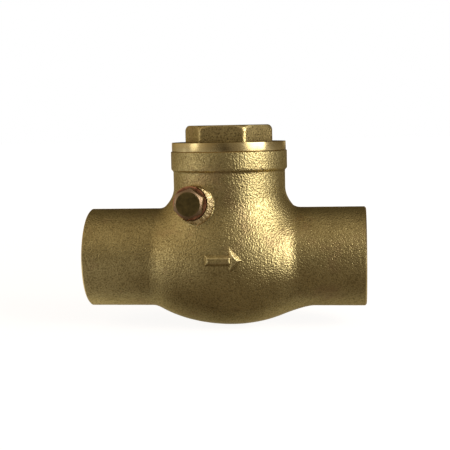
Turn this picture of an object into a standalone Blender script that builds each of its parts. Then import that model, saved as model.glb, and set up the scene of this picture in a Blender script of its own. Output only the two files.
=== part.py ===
"""Swing check valve with solder ends, for 22 mm copper tube.

The flow runs along +X. The origin is where the pipe axis meets the neck axis, and +Z points up
the neck. The hinge pin lies along Y. Sizes are in metres. At rest the flap is shut on its seat.
"""

from math import cos, pi, radians, sin, sqrt

import bmesh
import bpy
import numpy as np
from mathutils import Matrix

# Solder ends
CUP_BORE_RADIUS = 0.01115
CUP_DEPTH = 0.0190
TUBE_WALL = 0.00185
INLET_REACH = 0.0375
OUTLET_REACH = 0.0357
MOUTH_CHAMFER = 0.0004

# Round belly of the casting, about an axis a little under the pipe axis
BELLY_RADIUS = 0.0175
BELLY_DROP = 0.0005
BELLY_LENGTH_IN = 0.0280
BELLY_LENGTH_OUT = 0.0250
BELLY_WALL = 0.0031
CREASE_RADIUS_IN = 0.0004
CREASE_RADIUS_OUT = 0.0024
NECK_FILLET = 0.0040
CREASE_FADE = 1.5

# Neck and its collar
NECK_BORE_RADIUS = 0.0124
NECK_WALL = 0.00235
COLLAR_LIP = 0.00055
COLLAR_HEIGHT = 0.0046
COLLAR_TOP = 0.0281
NECK_BORE_FLOOR = 0.0020

# Seat and ports
PORT_RADIUS = 0.00825
SEAT_WIDTH = 0.00095
SEAT_RISE = 0.0012
SEAT_DRAFT = 0.0003
SEAT_WALL_SETBACK = 0.0002
OUTLET_PORT_RADIUS = 0.0100
OUTLET_PORT_LENGTH = 0.0027
CHAMBER_END_WALL = 0.0019

# Bonnet cap and its gasket
FLANGE_RADIUS = 0.0150
FLANGE_THICKNESS = 0.0020
CAP_HEX_FLATS = 0.0202
CAP_HEX_HEIGHT = 0.0044
CAP_HEX_TURN = radians(-3.7)
CAP_CORNER_CLIP = 0.0008
SPIGOT_LENGTH = 0.0068
SPIGOT_WALL = 0.0025
CAP_CROWN = 0.0043
CAP_CHAMFER = 0.0003
SPIGOT_CHAMFER = 0.0006
GASKET_SECTION = 0.0010
GASKET_POCKET_RADIUS = 0.0141

# Hinge pin, its plug and the bosses that carry them
PIN_X = -0.0084
PIN_Z = 0.0154
PIN_RADIUS = 0.00125
PIN_END_WALL = 0.0015
BOSS_RADIUS = 0.0047
BOSS_REACH = 0.0139
BOSS_CHAMFER = 0.0005
BOSS_DRAFT = 0.0003
SPOT_FACE_RADIUS = 0.0059
LUG_RADIUS = 0.0029
PLUG_FLATS = 0.0070
PLUG_HEAD = 0.0030
PLUG_TURN = radians(21.9)
PLUG_FACE_RADIUS = 0.0028
PLUG_CHAMFER = 0.0006
PLUG_SHANK_RADIUS = 0.0027
PLUG_SHANK_LENGTH = 0.0047
PLUG_WASHER_RADIUS = 0.0045
PLUG_WASHER_THICKNESS = 0.0008

# Swinging arm
KNUCKLE_RADIUS = 0.0026
KNUCKLE_LENGTH = 0.0090
ARM_THICKNESS = 0.0025
ARM_WIDTH_TOP = 0.0076
ARM_WIDTH_FOOT = 0.0059
ARM_EYE_RADIUS = 0.0037
ARM_EYE_STEP = 0.00025
ARM_RIB_WIDTH = 0.0016
ARM_RIB_RISE = 0.0011
ARM_ROOT_SHARE = 0.3
OPEN_ANGLE = radians(60)
HEEL_WIDTH = 0.0044
HEEL_THICKNESS = 0.0023

# Disc and what is fixed on it
DISC_RADIUS = 0.0104
DISC_RIM_DEPTH = 0.0013
DISC_WEB = 0.0015
SEAL_RADIUS = 0.0093
SEAL_THICKNESS = 0.0015
STUD_RADIUS = 0.0020
STUD_TAIL = 0.0006
STUD_CHAMFER = 0.0005
RETAINER_RADIUS = 0.0052
RETAINER_THICKNESS = 0.0008
SEAL_SCREW_RADIUS = 0.0011
SEAL_SCREW_HEAD_RADIUS = 0.0022
SEAL_SCREW_HEAD = 0.0013
SEAL_SCREW_TOP_RADIUS = 0.0013
SEAL_SCREW_SLOT_WIDTH = 0.0007
SEAL_SCREW_SLOT_DEPTH = 0.00065
SEAL_SCREW_LENGTH = 0.0052
NUT_FLATS = 0.0064
NUT_THICKNESS = 0.0024
NUT_CHAMFER = 0.00024
NUT_WASHER_RADIUS = 0.0034
NUT_WASHER_THICKNESS = 0.0006

# Flow arrow cast on the front of the belly
ARROW_LENGTH = 0.0080
ARROW_HEIGHT = 0.0052
ARROW_SHAFT_HEIGHT = 0.0020
ARROW_Z = 0.0012
ARROW_RELIEF = 0.0005

# Clearances
SEATED_GAP = 0.0003
RUNNING_GAP = 0.0003
STOP_GAP = 0.0003
CUT_MARGIN = 0.0010

# Facets
QUARTER_STEPS = 10
ROUND_STEPS = 4 * QUARTER_STEPS
SMALL_STEPS = 20
SEAT_STEPS = 32
LOOSE_STEPS = 24
PROFILE_STEPS = 8
SHARP_ANGLE = radians(22)

# Where the net of the skin has its lines round the neck, in neck fillets, and its least heights
NET_ROOT = 0.4
NET_CROTCH = 0.55
NET_FOOT = 1.1
NET_LIP = 1.4
NET_CORNER = 0.9
NET_LEAST = 0.2
NET_SIDE = 0.6
NET_WELD = 2e-6

# Sizes that follow from the ones above
TUBE_RADIUS = CUP_BORE_RADIUS + TUBE_WALL
NECK_RADIUS = NECK_BORE_RADIUS + NECK_WALL
COLLAR_RADIUS = NECK_RADIUS + COLLAR_LIP
SEAT_WALL_X = -(NECK_BORE_RADIUS + SEAT_WALL_SETBACK)
SEAT_FACE_X = SEAT_WALL_X + SEAT_RISE
CHAMBER_RADIUS = BELLY_RADIUS - BELLY_WALL
OUTLET_SHOULDER_X = OUTLET_REACH - CUP_DEPTH
INLET_SHOULDER_X = -(INLET_REACH - CUP_DEPTH)
CHAMBER_END_X = OUTLET_SHOULDER_X - OUTLET_PORT_LENGTH
PIN_BORE_RADIUS = PIN_RADIUS + RUNNING_GAP
PLUG_SEAT_Y = -(BOSS_REACH + SEATED_GAP + PLUG_WASHER_THICKNESS + SEATED_GAP)
PLUG_END_Y = PLUG_SEAT_Y + PLUG_SHANK_LENGTH
PIN_START_Y = PLUG_END_Y + 2 * SEATED_GAP
PIN_END_Y = BOSS_REACH - PIN_END_WALL - SEATED_GAP
LUG_INNER_Y = KNUCKLE_LENGTH / 2 + RUNNING_GAP
SEAL_FRONT_X = SEAT_FACE_X + SEATED_GAP
SEAL_BACK_X = SEAL_FRONT_X + SEAL_THICKNESS
DISC_POCKET_X = SEAL_BACK_X + SEATED_GAP
DISC_FRONT_X = DISC_POCKET_X - DISC_RIM_DEPTH
DISC_BACK_X = DISC_POCKET_X + DISC_WEB
ARM_FRONT_X = DISC_BACK_X + RUNNING_GAP
ARM_BACK_X = ARM_FRONT_X + ARM_THICKNESS
NUT_WASHER_X = ARM_BACK_X + RUNNING_GAP
NUT_X = NUT_WASHER_X + NUT_WASHER_THICKNESS + SEATED_GAP
STUD_END_X = NUT_X + NUT_THICKNESS + STUD_TAIL


def clear_scene():
    for old in list(bpy.data.objects):
        bpy.data.objects.remove(old, do_unlink=True)


def metal(name, colour, roughness, metallic=1.0):
    """A material with one Principled shader."""
    material = bpy.data.materials.new(name)
    material.use_nodes = True
    shader = material.node_tree.nodes["Principled BSDF"]
    shader.inputs["Base Color"].default_value = (*colour, 1.0)
    shader.inputs["Roughness"].default_value = roughness
    shader.inputs["Metallic"].default_value = metallic
    return material


def add_object(name, bm, material=None, parent=None):
    """Turn a bmesh into an object, with its normals facing out and round faces smooth."""
    bmesh.ops.recalc_face_normals(bm, faces=bm.faces)
    mesh = bpy.data.meshes.new(name)
    bm.to_mesh(mesh)
    bm.free()
    if material is not None:
        mesh.materials.append(material)
    mesh.shade_smooth()
    mesh.set_sharp_from_angle(angle=SHARP_ANGLE)
    obj = bpy.data.objects.new(name, mesh)
    bpy.context.scene.collection.objects.link(obj)
    if parent is not None:
        obj.parent = parent
        obj.matrix_parent_inverse = Matrix.Translation(-parent.location)
    return obj


def add_axis(name, location, parent=None):
    """An empty that marks the axis of a joint."""
    axis = bpy.data.objects.new(name, None)
    axis.empty_display_size = CUP_DEPTH / 2
    bpy.context.scene.collection.objects.link(axis)
    axis.location = location
    if parent is not None:
        axis.parent = parent
        axis.matrix_parent_inverse = Matrix.Translation(-parent.location)
    return axis


def boolean(obj, other, operation):
    """Join or cut one object with another by an exact Boolean, and use the other up."""
    modifier = obj.modifiers.new(f"{operation.lower()}_{other.name}", "BOOLEAN")
    modifier.operation = operation
    modifier.solver = "EXACT"
    modifier.object = other
    bpy.context.view_layer.update()
    graph = bpy.context.evaluated_depsgraph_get()
    result = bpy.data.meshes.new_from_object(obj.evaluated_get(graph))
    obj.modifiers.remove(modifier)
    old, obj.data = obj.data, result
    result.name = obj.name
    bpy.data.meshes.remove(old)
    bpy.data.objects.remove(other, do_unlink=True)
    result.set_sharp_from_angle(angle=SHARP_ANGLE)


ALONG_X = Matrix.Rotation(pi / 2, 4, "Y")
ALONG_Y = Matrix.Rotation(-pi / 2, 4, "X")
TO_FRONT = Matrix.Rotation(pi / 2, 4, "X")
ALONG_Z = Matrix.Identity(4)


def turned(name, outline, steps=ROUND_STEPS, axis=ALONG_Z, centre=(0, 0, 0), **dress):
    """Spin an open outline of (radius, height) points about an axis; its ends lie on the axis."""
    bm = bmesh.new()
    columns = []
    for i in range(steps):
        angle = 2 * pi * i / steps
        columns.append([(r * cos(angle), r * sin(angle), h) for r, h in outline])
    rings = []
    for j, (r, h) in enumerate(outline):
        if r == 0:
            rings.append([bm.verts.new((0, 0, h))] * steps)
        else:
            rings.append([bm.verts.new(column[j]) for column in columns])
    for lower, upper in zip(rings, rings[1:]):
        for i in range(steps):
            k = (i + 1) % steps
            corners = [lower[i], lower[k], upper[k], upper[i]]
            bm.faces.new(list(dict.fromkeys(corners)))
    bm.transform(Matrix.Translation(centre) @ axis)
    return add_object(name, bm, **dress)


def rod(radius, low, high):
    """Outline of a plain rod."""
    return [(0, low), (radius, low), (radius, high), (0, high)]


def ring(name, outline, steps=ROUND_STEPS, axis=ALONG_Z, centre=(0, 0, 0), **dress):
    """Spin a closed outline of (radius, height) points that stays off the axis."""
    bm = bmesh.new()
    loops = []
    for i in range(steps):
        angle = 2 * pi * i / steps
        loops.append([bm.verts.new((r * cos(angle), r * sin(angle), h)) for r, h in outline])
    count = len(outline)
    for i in range(steps):
        here, there = loops[i], loops[(i + 1) % steps]
        for j in range(count):
            k = (j + 1) % count
            bm.faces.new([here[j], there[j], there[k], here[k]])
    bm.transform(Matrix.Translation(centre) @ axis)
    return add_object(name, bm, **dress)


def washer(name, inner, outer, low, high, **dress):
    """A flat ring."""
    outline = [(inner, low), (outer, low), (outer, high), (inner, high)]
    return ring(name, outline, **dress)


def box(name, low, high, **dress):
    """A plain block between two corners."""
    bm = bmesh.new()
    bmesh.ops.create_cube(bm, size=1.0)
    size = [h - l for l, h in zip(low, high)]
    middle = [(h + l) / 2 for l, h in zip(low, high)]
    bm.transform(Matrix.Translation(middle) @ Matrix.Diagonal((*size, 1.0)))
    return add_object(name, bm, **dress)


def prism(name, corners, low, high, axis=ALONG_Z, centre=(0, 0, 0), **dress):
    """A flat outline of corners drawn straight from one height to another."""
    bm = bmesh.new()
    ends = [[bm.verts.new((u, v, height)) for u, v in corners] for height in (low, high)]
    for here, there, over_there, over_here in zip(
        ends[0], ends[0][1:] + ends[0][:1], ends[1][1:] + ends[1][:1], ends[1]
    ):
        bm.faces.new([here, there, over_there, over_here])
    bm.faces.new(ends[0])
    bm.faces.new(ends[1])
    bm.transform(Matrix.Translation(centre) @ axis)
    return add_object(name, bm, **dress)


def hexagon(name, flats, low, high, turn, clip_radius, clip_depth, axis, centre, **dress):
    """A hexagonal prism whose top corners are clipped by a cone."""
    corner = flats / sqrt(3)
    angles = [turn + k * pi / 3 for k in range(6)]
    corners = [(corner * cos(a), corner * sin(a)) for a in angles]
    obj = prism(name, corners, low, high, axis, centre, **dress)
    slope = clip_depth / (corner - clip_radius)
    wide = corner + CUT_MARGIN
    cone_foot = high - slope * (wide - clip_radius)
    outline = [(0, low - CUT_MARGIN), (wide, low - CUT_MARGIN), (wide, cone_foot)]
    outline += [(clip_radius, high), (0, high)]
    cone = turned(f"{name}_clip", outline, axis=axis, centre=centre)
    boolean(obj, cone, "INTERSECT")
    return obj


# The outer skin of the casting is one smooth field: a tube, a belly and a neck whose corners
# are rounded where they meet. A coarse net of square faces is drawn onto it.


def round_union(a, b, radius):
    """Distance to two shapes joined with a fillet of this radius."""
    inside = np.maximum(radius, np.minimum(a, b))
    return inside - np.hypot(np.maximum(radius - a, 0), np.maximum(radius - b, 0))


def belly_length(x):
    return np.where(x < 0, BELLY_LENGTH_IN, BELLY_LENGTH_OUT)


def pipe_distance(points):
    """Signed distance from the tube and the belly, with the crease between them rounded."""
    x, y, z = points.T
    tube = np.hypot(y, z) - TUBE_RADIUS
    across = np.hypot(y, z + BELLY_DROP)
    length = belly_length(x)
    scaled = np.hypot(x / length, across / BELLY_RADIUS)
    slope = np.hypot(x / length**2, across / BELLY_RADIUS**2)
    belly = scaled * (scaled - 1) / np.maximum(slope, 1e-9)
    lowness = np.clip(-z / TUBE_RADIUS, 0, 1) ** CREASE_FADE
    widest = np.where(x < 0, CREASE_RADIUS_IN, CREASE_RADIUS_OUT)
    return round_union(tube, belly, CREASE_RADIUS_IN + (widest - CREASE_RADIUS_IN) * lowness)


def skin_distance(points):
    """Signed distance from the outer skin, below zero inside the casting."""
    x, y, z = points.T
    neck = np.hypot(x, y) - NECK_RADIUS
    under = np.maximum(-z, 0)
    neck = np.where(under > 0, np.hypot(neck, under), neck)
    return round_union(pipe_distance(points), neck, NECK_FILLET)


def around_neck(radius, angles, height):
    """Points at one height round the neck axis."""
    x, y = radius * np.cos(angles), radius * np.sin(angles)
    return np.stack([x, y, np.full_like(angles, height)], axis=1)


def plain_neck_height():
    """The height above which the neck is a plain cylinder, clear of its fillet."""
    angles = np.linspace(0, 2 * pi, ROUND_STEPS, endpoint=False)
    low, high = 0.0, COLLAR_TOP
    for _ in range(PROFILE_STEPS):
        middle = (low + high) / 2
        clear = pipe_distance(around_neck(NECK_RADIUS, angles, middle)).min() > NECK_FILLET
        low, high = (low, middle) if clear else (middle, high)
    return max(high, TUBE_RADIUS + NET_LIP * NECK_FILLET)


def drawn_onto_skin(points, rounds=12, near=1e-5, step=1e-6):
    """Move points along the field's slope until they lie on the skin."""
    points = np.array(points, float)
    away = abs(skin_distance(points)) > near
    for _ in range(rounds):
        here = skin_distance(points)
        slope = np.empty_like(points)
        for k in range(3):
            shift = np.zeros(3)
            shift[k] = step
            ahead, behind = skin_distance(points + shift), skin_distance(points - shift)
            slope[:, k] = (ahead - behind) / (2 * step)
        size = np.maximum((slope**2).sum(axis=1), NET_LEAST**2)
        points -= (away * here / size)[:, None] * slope
    return points


def around_pipe(x, angles, radius, drop=0.0):
    """Points at angles from straight up, positive to the back, about the pipe axis."""
    x = np.broadcast_to(x, angles.shape)
    return np.stack([x, radius * np.sin(angles), radius * np.cos(angles) - drop], axis=1)


def belly_radius_at(x):
    return BELLY_RADIUS * np.sqrt(np.maximum(1 - (x / belly_length(x)) ** 2, NET_LEAST**2))


def blend_rows(first, last, shares):
    """Rows of points between two rows."""
    return [first + (last - first) * share for share in shares]


def coons_patch(top, bottom, left, right):
    """Rows of points that fill four edges: top and bottom run along, left and right run down."""
    rows = []
    along = np.linspace(0, 1, len(top))[:, None]
    for j, down in enumerate(np.linspace(0, 1, len(left))):
        ruled = top * (1 - down) + bottom * down
        across = left[j] * (1 - along) + right[j] * along
        first = top[0] * (1 - along) + top[-1] * along
        last = bottom[0] * (1 - along) + bottom[-1] * along
        rows.append(ruled + across - first * (1 - down) - last * down)
    return rows


def crease_ring(side, angles):
    """Where the belly meets the tube on one side, and the fillet's foot above."""
    y, z = TUBE_RADIUS * np.sin(angles), TUBE_RADIUS * np.cos(angles)
    across = np.hypot(y, z + BELLY_DROP) / BELLY_RADIUS
    length = BELLY_LENGTH_IN if side < 0 else BELLY_LENGTH_OUT
    reach = length * np.sqrt(np.maximum(1 - across**2, NET_LEAST**2))
    foot = NECK_RADIUS + NET_FOOT * NECK_FILLET
    side_height = 1 - NET_SIDE
    height = np.clip((np.cos(angles) - side_height) / NET_SIDE, 0, 1)
    reach = reach + (np.maximum(foot, reach) - reach) * height
    return np.stack([side * reach, y, z], axis=1)


def casting_net():
    """Patches of rows of points that cover the skin, with square faces all over."""
    quarter = np.linspace(-pi / 4, pi / 4, QUARTER_STEPS + 1)
    root_radius = NECK_RADIUS + NET_ROOT * NECK_FILLET
    half = root_radius / sqrt(2)
    crotch = TUBE_RADIUS + NET_CROTCH * NECK_FILLET
    least = (NET_LEAST * crotch) ** 2
    low_x = NET_CORNER * half
    smooth, patches = [], []

    def neck_edge(turn):
        """A quarter of the neck's root, centred on a direction from +X."""
        x, y = root_radius * np.cos(quarter + turn), root_radius * np.sin(quarter + turn)
        z = np.sqrt(np.maximum(crotch**2 - y**2, least))
        over_belly = np.sqrt(np.maximum(belly_radius_at(x) ** 2 - y**2, least))
        share = np.clip((abs(x) / half - NET_SIDE) / (1 - NET_SIDE), 0, 1)
        return np.stack([x, y, over_belly + (z - over_belly) * share], axis=1)

    roots = {"right": neck_edge(0), "back": neck_edge(pi / 2)}
    roots["left"] = neck_edge(pi)
    roots["front"] = neck_edge(-pi / 2)
    lip_height = plain_neck_height()
    for name, turn in (("right", 0), ("back", pi / 2), ("left", pi), ("front", -pi / 2)):
        lip = around_neck(NECK_RADIUS, quarter + turn, lip_height)
        smooth.append([*blend_rows(roots[name], lip, np.linspace(0, 1, 7))])

    corner = {}
    for side in (-1, 1):
        for depth in (-1, 1):
            turn = depth * 3 * pi / 4
            spot = around_pipe(side * low_x, np.array([turn]), belly_radius_at(np.array([low_x])))
            corner[side, depth] = spot[0]

    def swept(start, end, middle_angle):
        """An edge round the pipe axis from one corner to another."""
        a0, a1 = np.arctan2(start[1], start[2]), np.arctan2(end[1], end[2])
        a0 += 2 * pi * round((middle_angle - a0) / (2 * pi))
        a1 += 2 * pi * round((middle_angle - a1) / (2 * pi))
        r0, r1 = np.hypot(*start[1:]), np.hypot(*end[1:])
        share = np.linspace(0, 1, QUARTER_STEPS + 1)
        angles, radii = a0 + (a1 - a0) * share, r0 + (r1 - r0) * share
        return around_pipe(start[0] + (end[0] - start[0]) * share, angles, radii)

    top_corner = {
        (-1, -1): roots["front"][0],
        (1, -1): roots["front"][-1],
        (-1, 1): roots["left"][0],
        (1, 1): roots["right"][-1],
    }
    edges = {}
    for side in (-1, 1):
        edges[side, "front"] = swept(top_corner[side, -1], corner[side, -1], -pi / 2)
        edges[side, "back"] = swept(top_corner[side, 1], corner[side, 1], pi / 2)
        edges[side, "under"] = swept(corner[side, -1], corner[side, 1], -pi)
    for depth in (-1, 1):
        x = np.linspace(-low_x, low_x, QUARTER_STEPS + 1)
        turn = np.full(QUARTER_STEPS + 1, depth * 3 * pi / 4)
        edges[depth, "along"] = around_pipe(x, turn, belly_radius_at(x))

    smooth.append(
        coons_patch(roots["front"], edges[-1, "along"], edges[-1, "front"], edges[1, "front"])
    )
    smooth.append(
        coons_patch(roots["back"][::-1], edges[1, "along"], edges[-1, "back"], edges[1, "back"])
    )
    smooth.append(
        coons_patch(edges[-1, "along"], edges[1, "along"], edges[-1, "under"], edges[1, "under"])
    )

    for side, crotch_edge in ((-1, roots["left"][::-1]), (1, roots["right"])):
        sides = (
            (crotch_edge, quarter),
            (edges[side, "back"], quarter + pi / 2),
            (edges[side, "under"], quarter[::-1] - pi),
            (edges[side, "front"], quarter[::-1] - pi / 2),
        )
        creases = []
        for edge, angles in sides:
            crease = crease_ring(side, angles)
            least_reach = side * edge[:, 0] + NECK_FILLET / 2
            crease[:, 0] = side * np.maximum(side * crease[:, 0], least_reach)
            creases.append(crease)
        lowest = side * crease_ring(side, np.array([pi]))[0, 0]
        farthest = max((side * crease[:, 0]).max() for crease in creases)
        fade = CREASE_RADIUS_IN if side < 0 else CREASE_RADIUS_OUT
        plain_x = side * max(lowest + 3 * fade, farthest + 3 * CREASE_RADIUS_IN)
        for (edge, angles), crease in zip(sides, creases):
            plain = around_pipe(plain_x, angles, TUBE_RADIUS)
            before = crease - np.array([side * 2 * CREASE_RADIUS_IN, 0, 0])
            rows = blend_rows(edge, before, np.linspace(0, 1, 5))
            rows.append(crease)
            rows += blend_rows(crease, plain, np.linspace(0, 1, 3 if side < 0 else 5)[1:])
            smooth.append(rows)
        reach = INLET_REACH if side < 0 else OUTLET_REACH
        for turn in (0, pi / 2, pi, -pi / 2):
            angles = quarter + turn
            plain = around_pipe(plain_x, angles, TUBE_RADIUS)
            shoulder = around_pipe(side * (reach - MOUTH_CHAMFER), angles, TUBE_RADIUS)
            face = around_pipe(side * reach, angles, TUBE_RADIUS - MOUTH_CHAMFER)
            middle = around_pipe(side * reach, angles, 0.0)
            patches.append([*blend_rows(plain, shoulder, (0, 0.5, 1)), face, middle])
    for turn in (0, pi / 2, pi, -pi / 2):
        angles = quarter + turn
        base = COLLAR_TOP - COLLAR_HEIGHT
        heights = (lip_height, base - 2 * COLLAR_LIP, base, COLLAR_TOP, COLLAR_TOP)
        radii = (NECK_RADIUS, NECK_RADIUS, COLLAR_RADIUS, COLLAR_RADIUS, 0.0)
        rows = [around_neck(radius, angles, height) for radius, height in zip(radii, heights)]
        patches.append(rows)
    return [[drawn_onto_skin(row) for row in patch] for patch in smooth] + patches


def casting_skin(material):
    """The closed outer skin of the casting, still solid inside."""
    bm = bmesh.new()
    for patch in casting_net():
        rows = [[bm.verts.new(point) for point in row] for row in patch]
        for upper, lower in zip(rows, rows[1:]):
            for i in range(len(upper) - 1):
                bm.faces.new([upper[i], upper[i + 1], lower[i + 1], lower[i]])
    bmesh.ops.remove_doubles(bm, verts=bm.verts, dist=NET_WELD)
    bmesh.ops.dissolve_degenerate(bm, dist=NET_WELD / 10, edges=bm.edges)
    return add_object("valve_body", bm, material=material)


def flow_passage():
    """Everything that is open along the pipe axis, turned as one cutter."""
    inlet, outlet = -INLET_REACH, OUTLET_REACH
    seat_outer = PORT_RADIUS + SEAT_WIDTH
    length_in = BELLY_LENGTH_IN - CHAMBER_END_WALL
    length_out = BELLY_LENGTH_OUT - CHAMBER_END_WALL
    outline = [(0, inlet - CUT_MARGIN), (CUP_BORE_RADIUS, inlet - CUT_MARGIN)]
    outline += [(CUP_BORE_RADIUS, INLET_SHOULDER_X), (PORT_RADIUS, INLET_SHOULDER_X)]
    outline += [(PORT_RADIUS, SEAT_FACE_X), (seat_outer, SEAT_FACE_X)]
    outline += [(seat_outer + SEAT_DRAFT, SEAT_WALL_X)]
    for i in range(PROFILE_STEPS + 1):
        x = SEAT_WALL_X + (CHAMBER_END_X - SEAT_WALL_X) * i / PROFILE_STEPS
        length = length_in if x < 0 else length_out
        outline.append((CHAMBER_RADIUS * sqrt(1 - (x / length) ** 2), x))
    outline += [(OUTLET_PORT_RADIUS, CHAMBER_END_X), (OUTLET_PORT_RADIUS, OUTLET_SHOULDER_X)]
    outline += [(CUP_BORE_RADIUS, OUTLET_SHOULDER_X), (CUP_BORE_RADIUS, outlet + CUT_MARGIN)]
    outline += [(0, outlet + CUT_MARGIN)]
    return turned("flow_passage", outline, axis=ALONG_X)


def neck_bore():
    """The bore down the neck, with the gasket's pocket and without the two hinge lugs."""
    pocket_floor = COLLAR_TOP - GASKET_SECTION - SEATED_GAP
    outline = [(0, NECK_BORE_FLOOR), (NECK_BORE_RADIUS, NECK_BORE_FLOOR)]
    outline += [(NECK_BORE_RADIUS, pocket_floor), (GASKET_POCKET_RADIUS, pocket_floor)]
    outline += [(GASKET_POCKET_RADIUS, COLLAR_TOP + CUT_MARGIN), (0, COLLAR_TOP + CUT_MARGIN)]
    bore = turned("neck_bore", outline)
    pin_line = (PIN_X, 0, PIN_Z)
    for name, low, high in (
        ("front_lug", -NECK_RADIUS, -LUG_INNER_Y),
        ("back_lug", LUG_INNER_Y, NECK_RADIUS),
    ):
        lug = turned(name, rod(LUG_RADIUS, low, high), SMALL_STEPS, ALONG_Y, pin_line)
        boolean(bore, lug, "DIFFERENCE")
    return bore


def arrow_outline():
    """Corners of the flow arrow, seen from the front, pointing to the outlet."""
    tail, tip = -ARROW_LENGTH / 2, ARROW_LENGTH / 2
    barb = tip - ARROW_HEIGHT / 2
    half, shaft = ARROW_HEIGHT / 2, ARROW_SHAFT_HEIGHT / 2
    upper = [(tail, shaft), (barb, shaft), (barb, half), (tip, 0)]
    return upper + [(x, -z) for x, z in reversed(upper[:-1])]


def front_of_skin(x, z, offset):
    """The y at which the front of the skin, moved out by an offset, lies."""
    x, z = np.asarray(x, float), np.asarray(z, float)
    near, far = np.full_like(x, -2 * BELLY_RADIUS), np.zeros_like(x)
    for _ in range(40):
        middle = (near + far) / 2
        outside = skin_distance(np.stack([x, middle, z], axis=1)) > offset
        near, far = np.where(outside, middle, near), np.where(outside, far, middle)
    return near


def flow_arrow():
    """A raised arrow that follows the belly, sunk a little into it."""
    bm = bmesh.new()
    corners = [bm.verts.new((x, 0, z + ARROW_Z)) for x, z in arrow_outline()]
    bm.faces.new(corners)
    for step in range(1, 4):
        place = -ARROW_LENGTH / 2 + step * ARROW_LENGTH / 4
        bmesh.ops.bisect_plane(
            bm, geom=[*bm.verts, *bm.edges, *bm.faces], plane_co=(place, 0, 0), plane_no=(1, 0, 0)
        )
    bmesh.ops.bisect_plane(
        bm, geom=[*bm.verts, *bm.edges, *bm.faces], plane_co=(0, 0, ARROW_Z), plane_no=(0, 0, 1)
    )
    bmesh.ops.triangulate(bm, faces=bm.faces)
    front = list(bm.verts)
    grown = bmesh.ops.extrude_face_region(bm, geom=list(bm.faces), use_keep_orig=True)
    sunk = [item for item in grown["geom"] if isinstance(item, bmesh.types.BMVert)]
    for verts, offset in ((front, ARROW_RELIEF), (sunk, -ARROW_RELIEF)):
        places = np.array([vert.co for vert in verts])
        for vert, y in zip(verts, front_of_skin(places[:, 0], places[:, 2], offset)):
            vert.co.y = y
    return add_object("flow_arrow", bm)


def build_body(material):
    """The casting with its bosses, bored out and machined."""
    body = casting_skin(material)
    pin_line = (PIN_X, 0, PIN_Z)
    chamfered = [(0, 0), (BOSS_RADIUS + BOSS_DRAFT, 0), (BOSS_RADIUS, BOSS_REACH - BOSS_CHAMFER)]
    chamfered += [(BOSS_RADIUS - BOSS_CHAMFER, BOSS_REACH), (0, BOSS_REACH)]
    flat = rod(BOSS_RADIUS, 0, BOSS_REACH)
    boolean(body, turned("back_boss", chamfered, SEAT_STEPS, ALONG_Y, pin_line), "UNION")
    boolean(body, turned("front_boss", flat, SEAT_STEPS, TO_FRONT, pin_line), "UNION")
    boolean(body, flow_arrow(), "UNION")
    spot_face = rod(SPOT_FACE_RADIUS, BOSS_REACH, 2 * BELLY_RADIUS)
    boolean(body, turned("spot_face", spot_face, SEAT_STEPS, TO_FRONT, pin_line), "DIFFERENCE")
    boolean(body, flow_passage(), "DIFFERENCE")
    boolean(body, neck_bore(), "DIFFERENCE")
    plug_hole = PLUG_SHANK_RADIUS + RUNNING_GAP
    outline = [(0, PLUG_SEAT_Y - CUT_MARGIN), (plug_hole, PLUG_SEAT_Y - CUT_MARGIN)]
    outline += [(plug_hole, PLUG_END_Y + SEATED_GAP), (PIN_BORE_RADIUS, PLUG_END_Y + SEATED_GAP)]
    outline += [(PIN_BORE_RADIUS, PIN_END_Y + SEATED_GAP), (0, PIN_END_Y + SEATED_GAP)]
    pin_bore = turned("pin_bore", outline, SMALL_STEPS, ALONG_Y, pin_line)
    boolean(body, pin_bore, "DIFFERENCE")
    return body


def build_cap(cast, rubber):
    """The bonnet cap: hexagon, flange and hollow spigot, with its gasket."""
    foot = COLLAR_TOP + SEATED_GAP
    top = foot + FLANGE_THICKNESS + CAP_HEX_HEIGHT
    spigot = NECK_BORE_RADIUS - RUNNING_GAP
    step = foot + FLANGE_THICKNESS
    clip = CAP_HEX_FLATS / sqrt(3) - CAP_CORNER_CLIP
    cap = hexagon(
        "bonnet_cap", CAP_HEX_FLATS, foot + FLANGE_THICKNESS / 2, top, CAP_HEX_TURN,
        clip, CAP_CORNER_CLIP, ALONG_Z, (0, 0, 0), material=cast,
    )
    end = COLLAR_TOP - SPIGOT_LENGTH
    outline = [(0, end), (spigot - SPIGOT_CHAMFER, end), (spigot, end + SPIGOT_CHAMFER)]
    outline += [(spigot, foot), (FLANGE_RADIUS - CAP_CHAMFER, foot)]
    outline += [(FLANGE_RADIUS, foot + CAP_CHAMFER), (FLANGE_RADIUS, step - CAP_CHAMFER)]
    outline += [(FLANGE_RADIUS - CAP_CHAMFER, step), (0, step)]
    boolean(cap, turned("flange_and_spigot", outline), "UNION")
    hollow = spigot - SPIGOT_WALL
    ceiling = top - CAP_CROWN
    outline = [(0, end - CUT_MARGIN), (hollow, end - CUT_MARGIN)]
    outline += [(hollow, ceiling - CAP_CHAMFER), (hollow - SPIGOT_CHAMFER, ceiling), (0, ceiling)]
    boolean(cap, turned("cap_hollow", outline), "DIFFERENCE")
    washer(
        "cap_gasket", NECK_BORE_RADIUS, GASKET_POCKET_RADIUS - SEATED_GAP,
        COLLAR_TOP - GASKET_SECTION, COLLAR_TOP, material=rubber,
    )


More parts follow.
